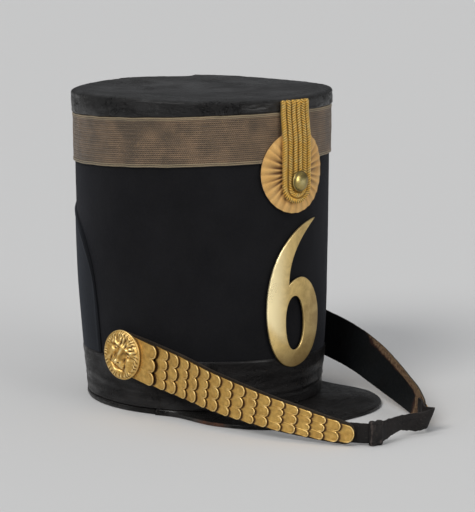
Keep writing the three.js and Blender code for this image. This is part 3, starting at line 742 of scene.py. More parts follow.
# Top leather: a sunken lid with a turned-down rim, wrinkled at its edge
def makeTop():
    spans = 240
    disc, edge, rim, under = topShape["levels"]
    turnDown, uneven = topShape["turnDown"], topShape["ripple"]
    sides = disc + edge + rim + 1 + under
    thick = topShape["thickness"]
    height = crown["height"]

    def ripple(angle, up):
        fine = 0.55 * ringWobble(angle, 22, up / 7)
        crisp = abs(ringWobble(angle, 12, up / 5 + 3))
        broad = 0.9 * ringWobble(angle, 9, up / 6)
        return fine + broad - 0.8 * bump(crisp, 0.06)

    def surface(angle, share, drop):
        rimPoint = wallPoint(angle, height, 0)
        x = crownX + (rimPoint.x - crownX) * share
        y = crownY + (rimPoint.y - crownY) * share
        wave = topEdge(angle) - height
        up = height + wave * share ** 3 - topShape["sag"] * (1 - share ** 2) - drop
        up += 0.5 * wobble(x * 35, y * 35, 3) * (1 - share ** 4) + 0.2 * wobble(x * 160, y * 160, 5)
        nick = sum(bump(angle - radians(nickAt), 0.012) for nickAt in topShape["nicks"])
        up -= topShape["nickDepth"] * nick * bump(1 - share, 0.03)
        up += 0.3 * wobble(x * 70, y * 70, 8) * smooth(0.2, 0.9, share)
        return Vector((x, y, up * mm))

    def spot(i, j):
        angle = i / spans * tau
        outer = gap + thick
        if j <= disc:
            share = 0.975 * (1 - (1 - j / disc) ** 1.5)
            return surface(angle, share, 0), 0.1
        if j <= disc + edge:
            turn = (j - disc) / edge * pi / 2
            up = topEdge(angle) - turnDown * (1 - cos(turn)) + uneven / 2 * ripple(angle, 0)
            base = wallPoint(angle, height, mix(-2.6, outer, sin(turn)) + uneven / 2 * ripple(angle, 9))
            return Vector((base.x, base.y, up * mm)), 0.25
        if j <= disc + edge + rim:
            low = rimLow(angle) + 0.5 * ringWobble(angle, 6, 2)
            share = (j - disc - edge) / rim
            up = mix(topEdge(angle) - turnDown, low, share)
            out = outer + uneven * ripple(angle, up) - 0.5 * bump(share - 1, 0.05)
            tone = 0.3 * bump(share - 0.4, 0.3) + 0.4 * bump(share - 1, 0.08)
            return wallPoint(angle, up, min(out, outer + 0.5)), tone
        if j == disc + edge + rim + 1:
            return wallPoint(angle, rimLow(angle) + 0.2, gap)
        share = (j - disc - edge - rim - 2) / (under - 2)
        if share <= 0:
            return wallPoint(angle, topEdge(angle) - thick, gap)
        return surface(angle, 0.96 * (1 - share), thick)

    shape = sweep(spans, sides, spot, lambda i, j: (i * 2.7, j * 3.0), True)
    makePiece("topLeather", shape, [lidLeather], "black_leather", ["top_leather"])


# Lace: corded edges are real ridges, the weave is relief in the material
def makeLace():
    spans, levels = 260, 72
    height, edgeWidth, ridgeHeight = lace["height"], laceLook["edgeWidth"], lace["ridge"]

    def limits(i):
        angle = i / spans * tau
        return angle, laceLow(angle), rimLow(angle) - gap

    def face(angle, low, high, share):
        across = share * height
        border = min(across, height - across)
        ridge, tone = 0.0, 0.0
        if border < edgeWidth:
            ridge = ridgeHeight * abs(sin(border / edgeWidth * 3 * pi))
            # Tone on the corded edges: pale on the ridge tops, painted shade in the grooves between them
            tone = mix(-0.6, 1, ridge / ridgeHeight)
        swell = lace["swell"] * ringWobble(angle, 7, across / 18)
        swell += lace["fineSwell"] * ringWobble(angle, 20, across / 9)
        out = gap + lace["thickness"] + ridge + swell - 0.7 * bump(border, 0.5)
        shift = 0.35 * ringWobble(angle, 9, 4) * bump(border, 6)
        return wallPoint(angle, mix(low, high, share) + shift, max(out, gap + 0.4)), tone

    def uvAt(i, j):
        return (i / spans * 648, min(j, levels - 1) / (levels - 1) * height)

    look = (laceWeave, "tarnished_lace")
    makeLayer("laceBand", spans, levels, 2, limits, face, gap, uvAt, True, look, "lace_band")


# Head band: leather with long level creases
def makeBand():
    spans, levels = 220, 44

    def limits(i):
        angle = i / spans * tau
        return angle, band["low"], bandTop(angle) + 0.4 * ringWobble(angle, 5, 8)

    def face(angle, low, high, share):
        up = mix(low, high, share)
        fold = band["creaseUp"] + 4 * ringWobble(angle, 1.5, 1)
        crease = band["crease"] * bump(up - fold, 1.0) - 0.4 * bump(up - fold - 2.6, 1.5)
        crease *= smooth(-0.2, 0.5, ringWobble(angle, 2.2, 6) + 0.25)
        level = band["levelCreases"] * ringWobble(angle, 3, up / 5)
        swell = band["swell"] * ringWobble(angle, 8, up / 16)
        out = gap + band["thickness"] + level + swell - crease - 0.7 * bump(high - up, 0.8)
        tone = 0.5 * bump(high - up, 1.5) + 0.3 * max(0, level)
        return wallPoint(angle, up, max(out, gap + 0.5)), tone

    def uvAt(i, j):
        return (i * 2.8, min(j, levels) * 0.9)

    look = (bandLeather, "black_leather")
    makeLayer("headBand", spans, levels, 2, limits, face, gap, uvAt, True, look, "head_band")


# Lower binding and peak
foot = {"height": 4.7, "spread": 0.6, "crack": 0.006, "squareness": 0.55, "unevenness": 0.3}
peak = {
    "reach": 57,
    "halfWidth": 92,
    "power": 2.7,
    "wing": radians(68),
    "opening": 0.6,
    "edge": 3.2,
    "undercut": 1.2,
    "step": 1.5,
    "bareAt": 42,
    "bareWidth": 8,
    "ring": 0.35,
    "swell": 0.5,
    "fineSwell": 0.55,
    "crease": 0.35,
    "levels": (30, 8, 8),
}
footInner = -crown["wall"] - foot["spread"]
footOuter = gap + band["thickness"] + foot["spread"]


def makeBinding():
    spans, sides = 150, 20
    start, end = peak["wing"] + foot["crack"], tau - peak["wing"] - foot["crack"]
    middleOut, halfOut = (footInner + footOuter) / 2, (footOuter - footInner) / 2
    halfUp = foot["height"] / 2

    def spot(i, j):
        angle = mix(start, end, i / spans)
        turn = j / sides * tau
        squareX, squareY = [squarish(value, foot["squareness"]) for value in (cos(turn), sin(turn))]
        uneven = foot["unevenness"] * ringWobble(angle, 12, squareY)
        out = middleOut + halfOut * squareX + (uneven if squareX > 0 else 0)
        up = max(0, halfUp + halfUp * squareY - (0.25 + 0.4 * abs(uneven) if squareY > 0.5 else 0))
        return wallPoint(angle, up, out), 0.3 * bump(squareY - 1, 0.4) + 0.5 * max(0, uneven)

    shape = sweep(spans, sides, spot, lambda i, j: (i * 3, j), False)
    makePiece("lowerBinding", shape, [peakLeather], "black_leather", ["lower_binding"])


def peakRim(angle):
    long, left, right, forward = sectionAt(0)
    wide = right if angle < 0 else left
    middle = forward + long * cos(peak["wing"])
    tip = forward + long + footOuter + peak["reach"]
    x, ahead = (wide + footOuter) * sin(angle), (long + footOuter) * cos(angle)
    direction = atan2(x, ahead)
    near, far = 0.0, 2 * tip
    for _ in range(40):
        reach = (near + far) / 2
        sideways = abs(reach * sin(direction)) / peak["halfWidth"]
        forwards = max(0, forward + reach * cos(direction) - middle) / (tip - middle)
        if sideways ** peak["power"] + forwards ** peak["power"] < 1:
            near = reach
        else:
            far = reach
    inner = hypot(x, ahead)
    opened = smooth(peak["wing"] * peak["opening"], peak["wing"], abs(angle))
    reach = max(inner + peak["step"], mix(near, inner + peak["step"], opened))
    return crownX + reach * sin(direction) * mm, crownY - (forward + reach * cos(direction)) * mm


def makePeak():
    spans = 170
    top, edge, under = peak["levels"]
    sides = top + edge + under + 3
    half = peak["wing"] - foot["crack"]

    def spot(i, j):
        angle = mix(-half, half, i / spans)
        rimX, rimY = peakRim(angle)
        seat = wallPoint(angle, 0, footOuter)
        inner = wallPoint(angle, 0, footInner)

        def between(share, up):
            return Vector((mix(seat.x, rimX, share), mix(seat.y, rimY, share), up * mm))

        if j <= top:
            share = j / top
            up = mix(foot["height"], peak["edge"], smooth(0, 1, share) * 0.5 + share * 0.5)
            place = between(share, 0)
            ring = peak["ring"] * bump(share - 0.9, 0.02)
            swell = peak["swell"] * wobble(place.x * 40, place.y * 40, 2)
            swell += peak["fineSwell"] * wobble(angle * 4, share * 8, 2)
            swell *= smooth(0, 0.3, share)
            crease = peak["crease"] * bump(wobble(place.x * 22, place.y * 34, 9), 0.03)
            up += swell - ring - crease
            return between(share * 0.985, up - 0.15), 0.3 * bump(share - 1, 0.06) + 0.4 * max(0, swell)
        if j <= top + edge:
            turn = (j - top) / edge * pi
            rimShare = 0.985 + 0.015 * sin(turn)
            up = peak["edge"] / 2 + (peak["edge"] / 2 - 0.15) * cos(turn)
            ragged = 0.006 * wobble(angle * 40, turn, 4)
            bare = bump(degrees(angle) + peak["bareAt"], peak["bareWidth"])
            return between(rimShare + min(0, ragged), max(0, up)), 0.3 + 1.5 * bare
        if j <= top + edge + under:
            share = 1 - (j - top - edge) / under
            return between(share * 0.98, peak["undercut"] * 0.9 * (1 - share))
        if j == top + edge + under + 1:
            return Vector((inner.x, inner.y, peak["undercut"] * mm))
        return Vector((inner.x, inner.y, foot["height"] * mm))

    shape = sweep(spans, sides, spot, lambda i, j: (i * 1.6, j * 2), False)
    makePiece("peakLeather", shape, [peakLeather], "black_leather", ["peak"])


makeCrown()
makeFlap()
makeTop()
makeLace()
makeBand()
makeBinding()
makePeak()
print("crown, bands and peak made")


# Cockade: knife pleats gathered at the middle
cockade = {
    "radius": 33,
    "drop": 59.5,
    "thickness": 2.6,
    "pleats": 28,
    "foldAt": 0.72,
    "innerDepth": 1.7,
    "outerDepth": 0.3,
    "back": [1.0, 0.8, 0.6, 0.42, 0.25, 0.1],
}
laceFace = gap + lace["thickness"]
cockadeBack = laceFace + gap
cockadeUp = crown["height"] - cockade["drop"]


def makeCockade():
    perPleat, levels = 10, 22
    spans = cockade["pleats"] * perPleat
    sides = levels + 6
    radius, foldAt = cockade["radius"], cockade["foldAt"]

    def at(share, around, out):
        reach = radius * share
        return frontPoint(reach * sin(around), cockadeUp + reach * cos(around), out)

    def spot(i, j):
        around = i / spans * tau
        if j < levels:
            share = mix(0.1, 1, j / (levels - 1))
            bend = 0.25 * ringWobble(around, 4, share * 2)
            phase = around / tau * cockade["pleats"] + bend
            part = phase - floor(phase)
            fold = part / foldAt if part < foldAt else (1 - part) / (1 - foldAt)
            each = 0.8 + 0.5 * wobble(floor(phase) * 3.7, 2)
            depth = each * mix(cockade["innerDepth"], cockade["outerDepth"], smooth(0.3, 1, share))
            body = cockade["thickness"] - 0.3 - 0.9 * smooth(0.86, 1, share)
            out = cockadeBack + max(0.35, body - depth * (1 - fold))
            ragged = 1
            if share > 0.95:
                ragged = 1 - 0.01 * (1 - fold) - 0.01 * abs(wobble(floor(phase) * 1.3, 7))
            # gathered sets how dark the painted shade in each fold is, darkest near the middle
            gathered = mix(1.7, 0.4, smooth(0.35, 0.95, share)) * each
            return at(share * ragged, around, out), max(-1, (fold - 1) * gathered)
        share = cockade["back"][j - levels]
        return at(share * 0.985, around, cockadeBack)

    def uvAt(i, j):
        return (i / spans * tau * radius, min(j, levels) / levels * radius)

    shape = sweep(spans, sides, spot, uvAt, True)
    makePiece("cockade", shape, [silk], "gold_silk", ["cockade"], 70)


# Loop: three twisted cords, each a narrow U
loop = {"radius": 2.25, "pairs": 3, "drop": 66, "aside": -2.2, "strands": 3, "ridge": 1.95, "groove": 0.17}
button = {
    "radius": 8.4,
    "height": 4,
    "profile": [
        (0, 1), (0.2, 0.985), (0.38, 0.94), (0.55, 0.86), (0.7, 0.74), (0.81, 0.6), (0.87, 0.47),
        (0.89, 0.38), (0.93, 0.37), (0.98, 0.33), (1, 0.25), (0.99, 0.15), (0.94, 0.05), (0.85, 0.0),
        (0.4, 0.0), (0, 0),
    ],
}
buttonUp = crown["height"] - loop["drop"]
bendUp = buttonUp - button["radius"] / 2
overRim = gap + topShape["thickness"] + gap + loop["radius"]
overCockade = cockadeBack + cockade["thickness"] + gap + loop["radius"]
cordPitch = 2 * loop["radius"] + gap


def cordOut(up):
    top = cockadeUp + cockade["radius"]
    share = smooth(top - loop["radius"] * 2, rimLow(0) - loop["radius"], up)
    return mix(overCockade, overRim, share)


def smoothRoute(points, perSpan=24):
    points = [Vector(point) for point in points]
    rows = [2 * points[0] - points[1], *points, 2 * points[-1] - points[-2]]
    route = []
    for k in range(1, len(rows) - 2):
        knots = [0.0]
        for a, b in zip(rows[k - 1:k + 2], rows[k:k + 3]):
            knots.append(knots[-1] + max(1e-6, (b - a).length) ** 0.5)
        for step in range(perSpan):
            at = mix(knots[1], knots[2], step / perSpan)

            def between(a, b, low, high):
                return a * ((high - at) / (high - low)) + b * ((at - low) / (high - low))

            a1 = between(rows[k - 1], rows[k], knots[0], knots[1])
            a2 = between(rows[k], rows[k + 1], knots[1], knots[2])
            a3 = between(rows[k + 1], rows[k + 2], knots[2], knots[3])
            b1 = between(a1, a2, knots[0], knots[2])
            b2 = between(a2, a3, knots[1], knots[3])
            route.append(between(b1, b2, knots[1], knots[2]))
    route.append(points[-1])
    return route


def measure(route):
    lengths = [0.0]
    for a, b in zip(route, route[1:]):
        lengths.append(lengths[-1] + (b - a).length)
    return lengths


def pointAt(route, lengths, distance):
    distance = min(max(distance, 0), lengths[-1])
    low, high = 0, len(lengths) - 1
    while high - low > 1:
        middle = (low + high) // 2
        if lengths[middle] <= distance:
            low = middle
        else:
            high = middle
    part = (distance - lengths[low]) / max(1e-9, lengths[high] - lengths[low])
    return route[low].lerp(route[high], part), (route[high] - route[low]).normalized()


def makeCord(pair):
    half = (pair + 0.5) * cordPitch
    top = crown["height"] - topShape["wave"] - 1
    legs = [mix(top, bendUp + cordPitch, k / 6) for k in range(7)]
    bend = [k / 8 * pi for k in range(9)]
    line = [(half, up) for up in legs]
    line += [(half * cos(turn), bendUp - half * sin(turn)) for turn in bend]
    line += [(-half, up) for up in reversed(legs)]
    route = smoothRoute([frontPoint(x + loop["aside"], up, cordOut(up)) / mm for x, up in line])
    lengths = measure(route)
    total = lengths[-1]
    spans, sides = int(total / 0.25), 24
    frames = [pointAt(route, lengths, k / spans * total) for k in range(spans + 1)]
    hand = 1 if pair % 2 else -1

    def spot(i, j):
        centre = frames[i][0]
        before, after = frames[max(0, i - 3)][1], frames[min(spans, i + 3)][1]
        ahead = (before + after).normalized()
        out = Vector((centre.x - crownX / mm, centre.y - crownY / mm, 0)).normalized()
        side = ahead.cross(out).normalized()
        out = side.cross(ahead)
        around = j / sides * tau
        along = i / spans * total
        lay = cos(loop["strands"] * around * hand - along / loop["ridge"] * tau)
        radius = loop["radius"] * (1 - loop["groove"] + loop["groove"] * lay)
        end = min(along, total - along) / 1.6
        radius *= 0.55 + 0.45 * min(1, end) ** 0.5
        # The tone paints shade in the grooves between the strands
        return (centre + (side * cos(around) + out * sin(around)) * radius) * mm, min(0.4, lay)

    shape = sweep(spans, sides, spot, lambda i, j: (i / spans * total, j / sides * 3), False)
    makePiece(f"loopCord{pair + 1}", shape, [cordGold], "gold_cord", [f"loop_cord_{pair + 1}"], 80)


# Button: a dome on a rolled foot
def makeButton():
    profile = button["profile"]
    spans, sides = 64, len(profile)
    seat = frontPoint(loop["aside"], buttonUp, overCockade + loop["radius"] + gap)

    def spot(i, j):
        around = i / spans * tau
        across, up = profile[j]
        radius = across * button["radius"] * mm
        place = Vector((seat.x + radius * sin(around), seat.y - up * button["height"] * mm,
                        seat.z + radius * cos(around)))
        # Tone: painted highlight on the middle of the dome, painted shade in the groove above the rolled foot
        return place, 0.6 * bump(across, 0.4) - 1.0 * bump(across - 0.9, 0.04)

    shape = sweep(spans, sides, spot, lambda i, j: (i, j), True)
    makePiece("button", shape, [buttonBrass], "brass", ["button"])


makeCockade()
for pair in range(loop["pairs"]):
    makeCord(pair)
makeButton()
print("cockade, loop and button made")


# Numeral: a bevelled outline that is bent to the crown
numeral = {
    "foot": 35.7,
    "height": 117.8,
    "width": 56.3,
    "thickness": 1.8,
    "bevel": 0.55,
    "cuts": (24, 18),
    "outline": [
        ((0.917, 1), (0.5, 0.985), (0, 0.8)),
        ((0, 0.4), (0, 0.17), (0.16, 0)),
        ((0.46, 0), (0.72, 0), (1, 0.13)),
        ((1, 0.33), (1, 0.47), (0.8, 0.6)),
        ((0.62, 0.61), (0.53, 0.612), (0.43, 0.595)),
        ((0.371, 0.564), (0.37, 0.75), (0.58, 0.9)),
    ],
    "hole": [
        ((0.472, 0.486), (0.58, 0.486), (0.655, 0.4)),
        ((0.655, 0.295), (0.655, 0.19), (0.58, 0.117)),
        ((0.47, 0.117), (0.37, 0.117), (0.31, 0.2)),
        ((0.31, 0.31), (0.31, 0.41), (0.37, 0.486)),
    ],
}


def makeNumeral():
    curve = bpy.data.curves.new("numeralOutline", "CURVE")
    curve.dimensions = "2D"
    curve.fill_mode = "BOTH"
    curve.resolution_u = 14
    curve.extrude = numeral["thickness"] / 2 - numeral["bevel"]
    curve.bevel_depth = numeral["bevel"]
    curve.bevel_resolution = 3
    curve.offset = -numeral["bevel"]

    def spot(pair):
        return Vector(((pair[0] - 0.5) * numeral["width"], pair[1] * numeral["height"], 0))

    for rows in (numeral["outline"], numeral["hole"]):
        spline = curve.splines.new("BEZIER")
        spline.bezier_points.add(len(rows) - 1)
        spline.use_cyclic_u = True
        for k, (point, leaving, arriving) in enumerate(rows):
            here = spline.bezier_points[k]
            following = spline.bezier_points[(k + 1) % len(rows)]
            here.handle_left_type = here.handle_right_type = "FREE"
            here.co = spot(point)
            here.handle_right = spot(leaving)
            following.handle_left = spot(arriving)
    flat = bpy.data.objects.new("numeralFlat", curve)
    mesh = bpy.data.meshes.new_from_object(flat)
    bpy.data.objects.remove(flat)
    shape = bmesh.new()
    shape.from_mesh(mesh)
    bpy.data.meshes.remove(mesh)
    bmesh.ops.remove_doubles(shape, verts=shape.verts, dist=1e-4)
    columns, levels = numeral["cuts"]
    cuts = [((k / columns - 0.5) * numeral["width"], 0, 0, "x") for k in range(1, columns)]
    cuts += [(0, k / levels * numeral["height"], 0, "y") for k in range(1, levels)]
    for *place, axis in cuts:
        normal = (1, 0, 0) if axis == "x" else (0, 1, 0)
        geometry = shape.verts[:] + shape.edges[:] + shape.faces[:]
        bmesh.ops.bisect_plane(shape, geom=geometry, plane_co=place, plane_no=normal, dist=1e-5)
    tone = shape.verts.layers.float.new("tone")
    back = gap + band["thickness"] + gap + numeral["thickness"] / 2
    for vert in shape.verts:
        x, y, z = vert.co
        edge = 0.6 * bump(abs(z) - numeral["thickness"] / 2 + numeral["bevel"] / 2, numeral["bevel"] / 3)
        across, high = x / numeral["width"], y / numeral["height"]
        # Painted light: lowRight paints shade over the lower right, foot paints shade over the foot, and lit
        # paints light on the left side above the foot
        lowRight = smooth(-0.3, 0.45, across) * (1 - smooth(0.25, 0.75, high))
        foot = 1 - smooth(0.0, 0.2, high)
        lit = (1 - smooth(-0.42, -0.08, across)) * smooth(0.22, 0.32, high + 0.5 * across + 0.2)
        vert[tone] = edge - 0.8 * max(0.8 * lowRight, foot) + 0.9 * lit
        vert.co = frontPoint(x, numeral["foot"] + y, back + z)
    bmesh.ops.recalc_face_normals(shape, faces=shape.faces)
    for face in shape.faces:
        face.smooth = True
    makePiece("numeral", shape, [numeralBrass], "brass", ["numeral"], 30)


makeNumeral()
print("numeral made")


# Chin straps, in mm: along the strap, up across its width, and out from its backing
strap = {
    "length": 214,
    "halfWidth": 17,
    "narrowing": 0.594,
    "power": 1.9,
    "bossUp": 46.9,
    "bossAngle": radians(82.3),
    "bossRadius": 20.5,
    "bossHalfLength": 18,
    "backing": 1.6,
    "margin": 1.2,
    "start": -9,
    "endRound": 9,
    "lip": 1.1,
    "plate": 0.9,
    "overlap": 3,
    "firstStart": 7,
    "firstEdge": 34,
    "lobes": [3, 4, 3, 4, 3, 4, 3, 4, 3, 4, 3, 4, 3, 4, 3, 2, 1],
    "right": [
        (0, 0), (0.018, 0.126), (0.033, 0.288), (0.037, 0.442), (0.06, 0.581), (0.093, 0.702), (0.133, 0.795),
        (0.172, 0.884), (0.223, 0.967),
    ],
    "left": [
        (0, 0), (0.003, 0.11), (0.008, 0.225), (0.031, 0.35), (0.075, 0.475), (0.128, 0.6), (0.179, 0.715),
        (0.236, 0.826), (0.301, 0.933),
    ],
    "leans": {"right": [2, 0, 0, 0], "left": [16, 21, 14, 1]},
}
strapSeat = gap + band["thickness"] + gap
scalePitch = (strap["length"] - strap["firstEdge"]) / (len(strap["lobes"]) - 1)
scaleRise = (strap["plate"] + gap * 1.2) / scalePitch


def leanAt(side, share):
    column = 2 if side == "right" else 1
    low, high = strap["bossUp"] - strap["halfWidth"], strap["bossUp"] + strap["halfWidth"]
    wallLean = atan((sectionAt(high)[column] - sectionAt(low)[column]) / (high - low))
    leans = [wallLean] + [radians(lean) for lean in strap["leans"][side]]
    step = min(0.999, max(0, share)) * (len(leans) - 1)
    return mix(leans[int(step)], leans[int(step) + 1], step - int(step))


def strapFrame(side):
    sign = -1 if side == "right" else 1
    length = strap["length"]
    start = wallPoint(sign * strap["bossAngle"], strap["bossUp"], strapSeat) / mm
    route = smoothRoute([(-sign * inward * length, -ahead * length, 0) for inward, ahead in strap[side]])
    lengths = measure(route)
    tipUp = strap["halfWidth"] * (1 - strap["narrowing"]) + strap["margin"] + gap

    def centre(along):
        share = along / length
        inside = min(1, max(0, share))
        point, ahead = pointAt(route, lengths, inside * lengths[-1])
        point = point * (length / lengths[-1]) + start
        point += ahead * (along if along < 0 else max(0, along - length))
        point.z = mix(strap["bossUp"], tipUp, share)
        return point

    def at(along, up, out):
        ahead = (centre(along + 1.5) - centre(along - 1.5)).normalized()
        outward = Vector((-ahead.y * sign, ahead.x * sign, 0)).normalized()
        across = ahead.cross(outward) * sign
        roll = leanAt(side, along / length)
        tilted = across * cos(roll) + outward * sin(roll)
        outward = outward * cos(roll) - across * sin(roll)
        return centre(along) + tilted * up + outward * out
    return at


def halfWidthAt(along):
    share = min(1, max(0, along / strap["length"]))
    return strap["halfWidth"] * (1 - strap["narrowing"] * share ** strap["power"])


# Round a flat strap: up its front, over the edge, down its back and up again
def flatSection(j, levels, front, back):
    if j < levels:
        return mix(-1, 1, j / (levels - 1)), front
    if j < levels + 2:
        return 1.0, mix(front, back, (j - levels + 1) / 3)
    if j < 2 * levels + 2:
        return mix(1, -1, (j - levels - 2) / (levels - 1)), back
    return -1.0, mix(back, front, (j - 2 * levels - 1) / 3)


def makeBacking(side, at):
    spans, levels = 150, 14
    sides = 2 * levels + 4
    isLeft = side == "left"

    def spot(i, j):
        along = mix(strap["start"], strap["length"], i / spans)
        half = halfWidthAt(along) + strap["margin"]
        half *= mix(0.75, 1, min(1, (along - strap["start"]) / -strap["start"]))
        half += 0.25 * wobble(along / 6, 3)
        end = max(0, along - strap["length"] + strap["endRound"]) / strap["endRound"]
        half *= sqrt(max(0.02, 1 - 0.8 * end ** 2.5))
        share = along / strap["length"]
        lip = strap["lip"] * (smooth(0.3, 0.6, share) + 2 * smooth(0.75, 0.92, share)) * isLeft
        across, out = flatSection(j, levels, strap["backing"], 0)
        inner = out == 0
        if inner:
            out = 0.25 * wobble(along / 9, across * 2, 5) * (1 - across ** 4)
        nearTip = smooth(strap["length"] - 42, strap["length"] - 20, along)
        tanned = smooth(0.2, 0.5, share) * smooth(0.62 - 0.15 * share, 0.8 - 0.1 * share, across)
        tone = 0.3 * bump(1 - abs(across), 0.12) + 1.6 * max(nearTip, tanned) * (inner and isLeft)
        return at(along, half * across + lip * smooth(0.5, 1, across), out) * mm, tone

    shape = sweep(spans, sides, spot, lambda i, j: (i * 1.5, j), False)
    for face in shape.faces:
        inward = crownX - face.calc_center_median().x
        face.material_index = 1 if face.normal.x * inward > 0 and abs(face.normal.z) < 0.6 else 0
    makePiece(f"strapBacking{side.title()}", shape, [backingLeather, liningLeather], "worn_leather",
              [f"strap_backing_{side}"])


scaleLook = {"lip": 0.3, "groove": 0.1, "dome": 0.28, "unevenness": 0.12}


def rowHalf(row):
    last = row == len(strap["lobes"]) - 1
    return halfWidthAt(strap["firstEdge"] + (row - 0.5) * scalePitch) * (0.92 if last else 1)


def lobeAt(row, y):
    lobes, half = strap["lobes"][row], rowHalf(row)
    lobeHalf = half / lobes
    reach = min(scalePitch * 0.5, lobeHalf * 0.9)
    lobe = min(lobes - 1, max(0, int((y + half) / (2 * lobeHalf))))
    part = (y + half - (2 * lobe + 1) * lobeHalf) / lobeHalf
    edge = strap["firstEdge"] + row * scalePitch
    return edge - reach, reach, part, edge - reach + reach * sqrt(max(0, 1 - part ** 2))


def scaleRow(shape, at, row):
    lobes, half = strap["lobes"][row], rowHalf(row)
    lobeHalf = half / lobes
    edge = strap["firstEdge"] + row * scalePitch
    start = strap["firstStart"] if row == 0 else edge - scalePitch - strap["overlap"]
    perLobe, levels = 18, 30
    spans = perLobe * lobes
    sides = levels + 4
    base = strap["backing"] + gap

    def spot(i, j):
        lobe = min(lobes - 1, int(i / perLobe))
        part = (i - lobe * perLobe) / perLobe * 2 - 1
        part = crowded(part, 1.5)
        y = -half + (2 * lobe + 1 + part * 0.9999) * lobeHalf
        bend, reach, part, stop = lobeAt(row, y)
        share = 1 - (1 - j / (levels - 1)) ** 1.7 if j < levels else mix(1, 0, (j - levels) / 3)
        along = mix(start, stop, share)
        low = base + scaleRise * (along - start)
        # The turned-under edge of each plate is painted in shade
        if j >= levels:
            return at(along, y, low) * mm, -0.8
        beyond = along > bend
        radial = hypot((along - bend) / reach, part) if beyond else abs(part)
        fromEdge = max(0.0, 1 - radial) * lobeHalf
        ahead = smooth(bend - 3.5, bend + 0.5, along)
        outermost = (lobe in (0, lobes - 1)) and (y * (lobe - 0.5) > 0 or lobes == 1)
        lip = scaleLook["lip"] * bump(fromEdge - 0.5, 0.42) * max(ahead, 0.6 if outermost else 0)
        groove = scaleLook["groove"] * bump(fromEdge - 1.3, 0.45) * ahead
        dome = scaleLook["dome"] * (1 - part ** 2) * (0.2 + 0.8 * ahead)
        drop = 0.3 * bump(stop - along, 0.22)
        height = strap["plate"] * 0.8 + lip - groove + dome - drop
        height += scaleLook["unevenness"] * wobble(along / 2.5, y / 2.5, row)
        # Tone: painted highlight on each lobe's raised lip, painted shade in the groove inside it, between
        # lobes and just under the row above; then random mottling
        tone = 0.75 * bump(fromEdge - 0.45, 0.45) * ahead - 0.3 * bump(fromEdge - 1.35, 0.45) * ahead
        tone -= 0.5 * bump(1 - abs(part), 0.05) * ahead
        if row:
            over = along - lobeAt(row - 1, y)[3]
            tone -= 1.0 * bump(max(0, over - 0.7), 0.8) + 0.25 * bump(max(0, over), 3.5)
        tone += 0.34 * wobble(along / 3, y / 3, row * 1.7) - 0.06
        return at(along, y, low + height) * mm, max(-1, min(1, tone))

    sweepInto(shape, spans, sides, spot, lambda i, j: (i, j), False)


def makeScales(side, at):
    shape = bmesh.new()
    for row in range(len(strap["lobes"])):
        scaleRow(shape, at, row)
    bmesh.ops.recalc_face_normals(shape, faces=shape.faces)
    nodes = [f"scale_{side}_{row + 1:02d}" for row in range(len(strap["lobes"]))]
    makePiece(f"scales{side.title()}", shape, [gilt], "gilt", nodes, 50)


# Boss: a lion's mask. Mounds are (x, y, half width, half height, rise), and come on both sides alike
lion = {
    "thickness": 2.2,
    "relief": 5.4,
    "mounds": [
        (0, 0.0, 0.6, 0.66, 0.45),
        (0, 0.1, 0.085, 0.34, 0.55),
        (0, -0.2, 0.17, 0.085, 0.36),
        (0, -0.3, 0.32, 0.16, 0.24),
        (0, -0.44, 0.26, 0.05, -0.8),
        (0, -0.59, 0.2, 0.08, 0.34),
        (0, -0.37, 0.03, 0.08, -0.2),
        (0, 0.56, 0.04, 0.12, -0.2),
        (0.26, 0.37, 0.19, 0.07, 0.5),
        (0.48, 0.28, 0.09, 0.12, 0.26),
        (0.32, 0.19, 0.15, 0.09, -0.7),
        (0.32, 0.17, 0.07, 0.045, 0.5),
        (0.13, 0.47, 0.035, 0.09, -0.22),
        (0.3, 0.49, 0.09, 0.05, 0.18),
        (0.21, -0.33, 0.16, 0.12, 0.18),
        (0.25, -0.06, 0.06, 0.16, -0.36),
        (0.36, -0.3, 0.05, 0.16, -0.3),
        (0.5, -0.35, 0.09, 0.14, 0.2),
        (0.44, -0.06, 0.12, 0.2, 0.22),
        (0.1, -0.21, 0.035, 0.03, -0.25),
        (0.17, 0.57, 0.13, 0.13, 0.2),
        (0.52, 0.55, 0.11, 0.12, 0.3),
        (0.52, 0.54, 0.05, 0.06, -0.25),
    ],
    "faceSize": 1.12,
    "tilt": 0.3,
    "locks": 31,
    "innerLocks": 19,
}


def lionHeight(radius, around):
    x, y = radius * sin(around) / lion["faceSize"], radius * cos(around) / lion["faceSize"]
    height = 0.0
    for cx, cy, wide, tall, rise in lion["mounds"]:
        height += rise * exp(-(((abs(x) - cx) / wide) ** 2) - ((y - cy) / tall) ** 2)
    swirl = 0.22 * wobble(x * 4, y * 4, 1)
    innerLock = abs(sin(lion["innerLocks"] / 2 * (around + swirl) + 2.5 * radius))
    outerLock = abs(sin(lion["locks"] / 2 * (around - swirl) - 1.5 * radius))
    crest = smooth(-0.2, 0.7, cos(around))
    inner = bump(radius - 0.68, 0.1) * (0.02 + 0.2 * innerLock * crest)
    outer = bump(radius - 0.86, 0.1) * (0.08 + 0.17 * outerLock)
    return height + inner + outer + 0.02 * wobble(x * 14 + 3, y * 14, radius * 5)


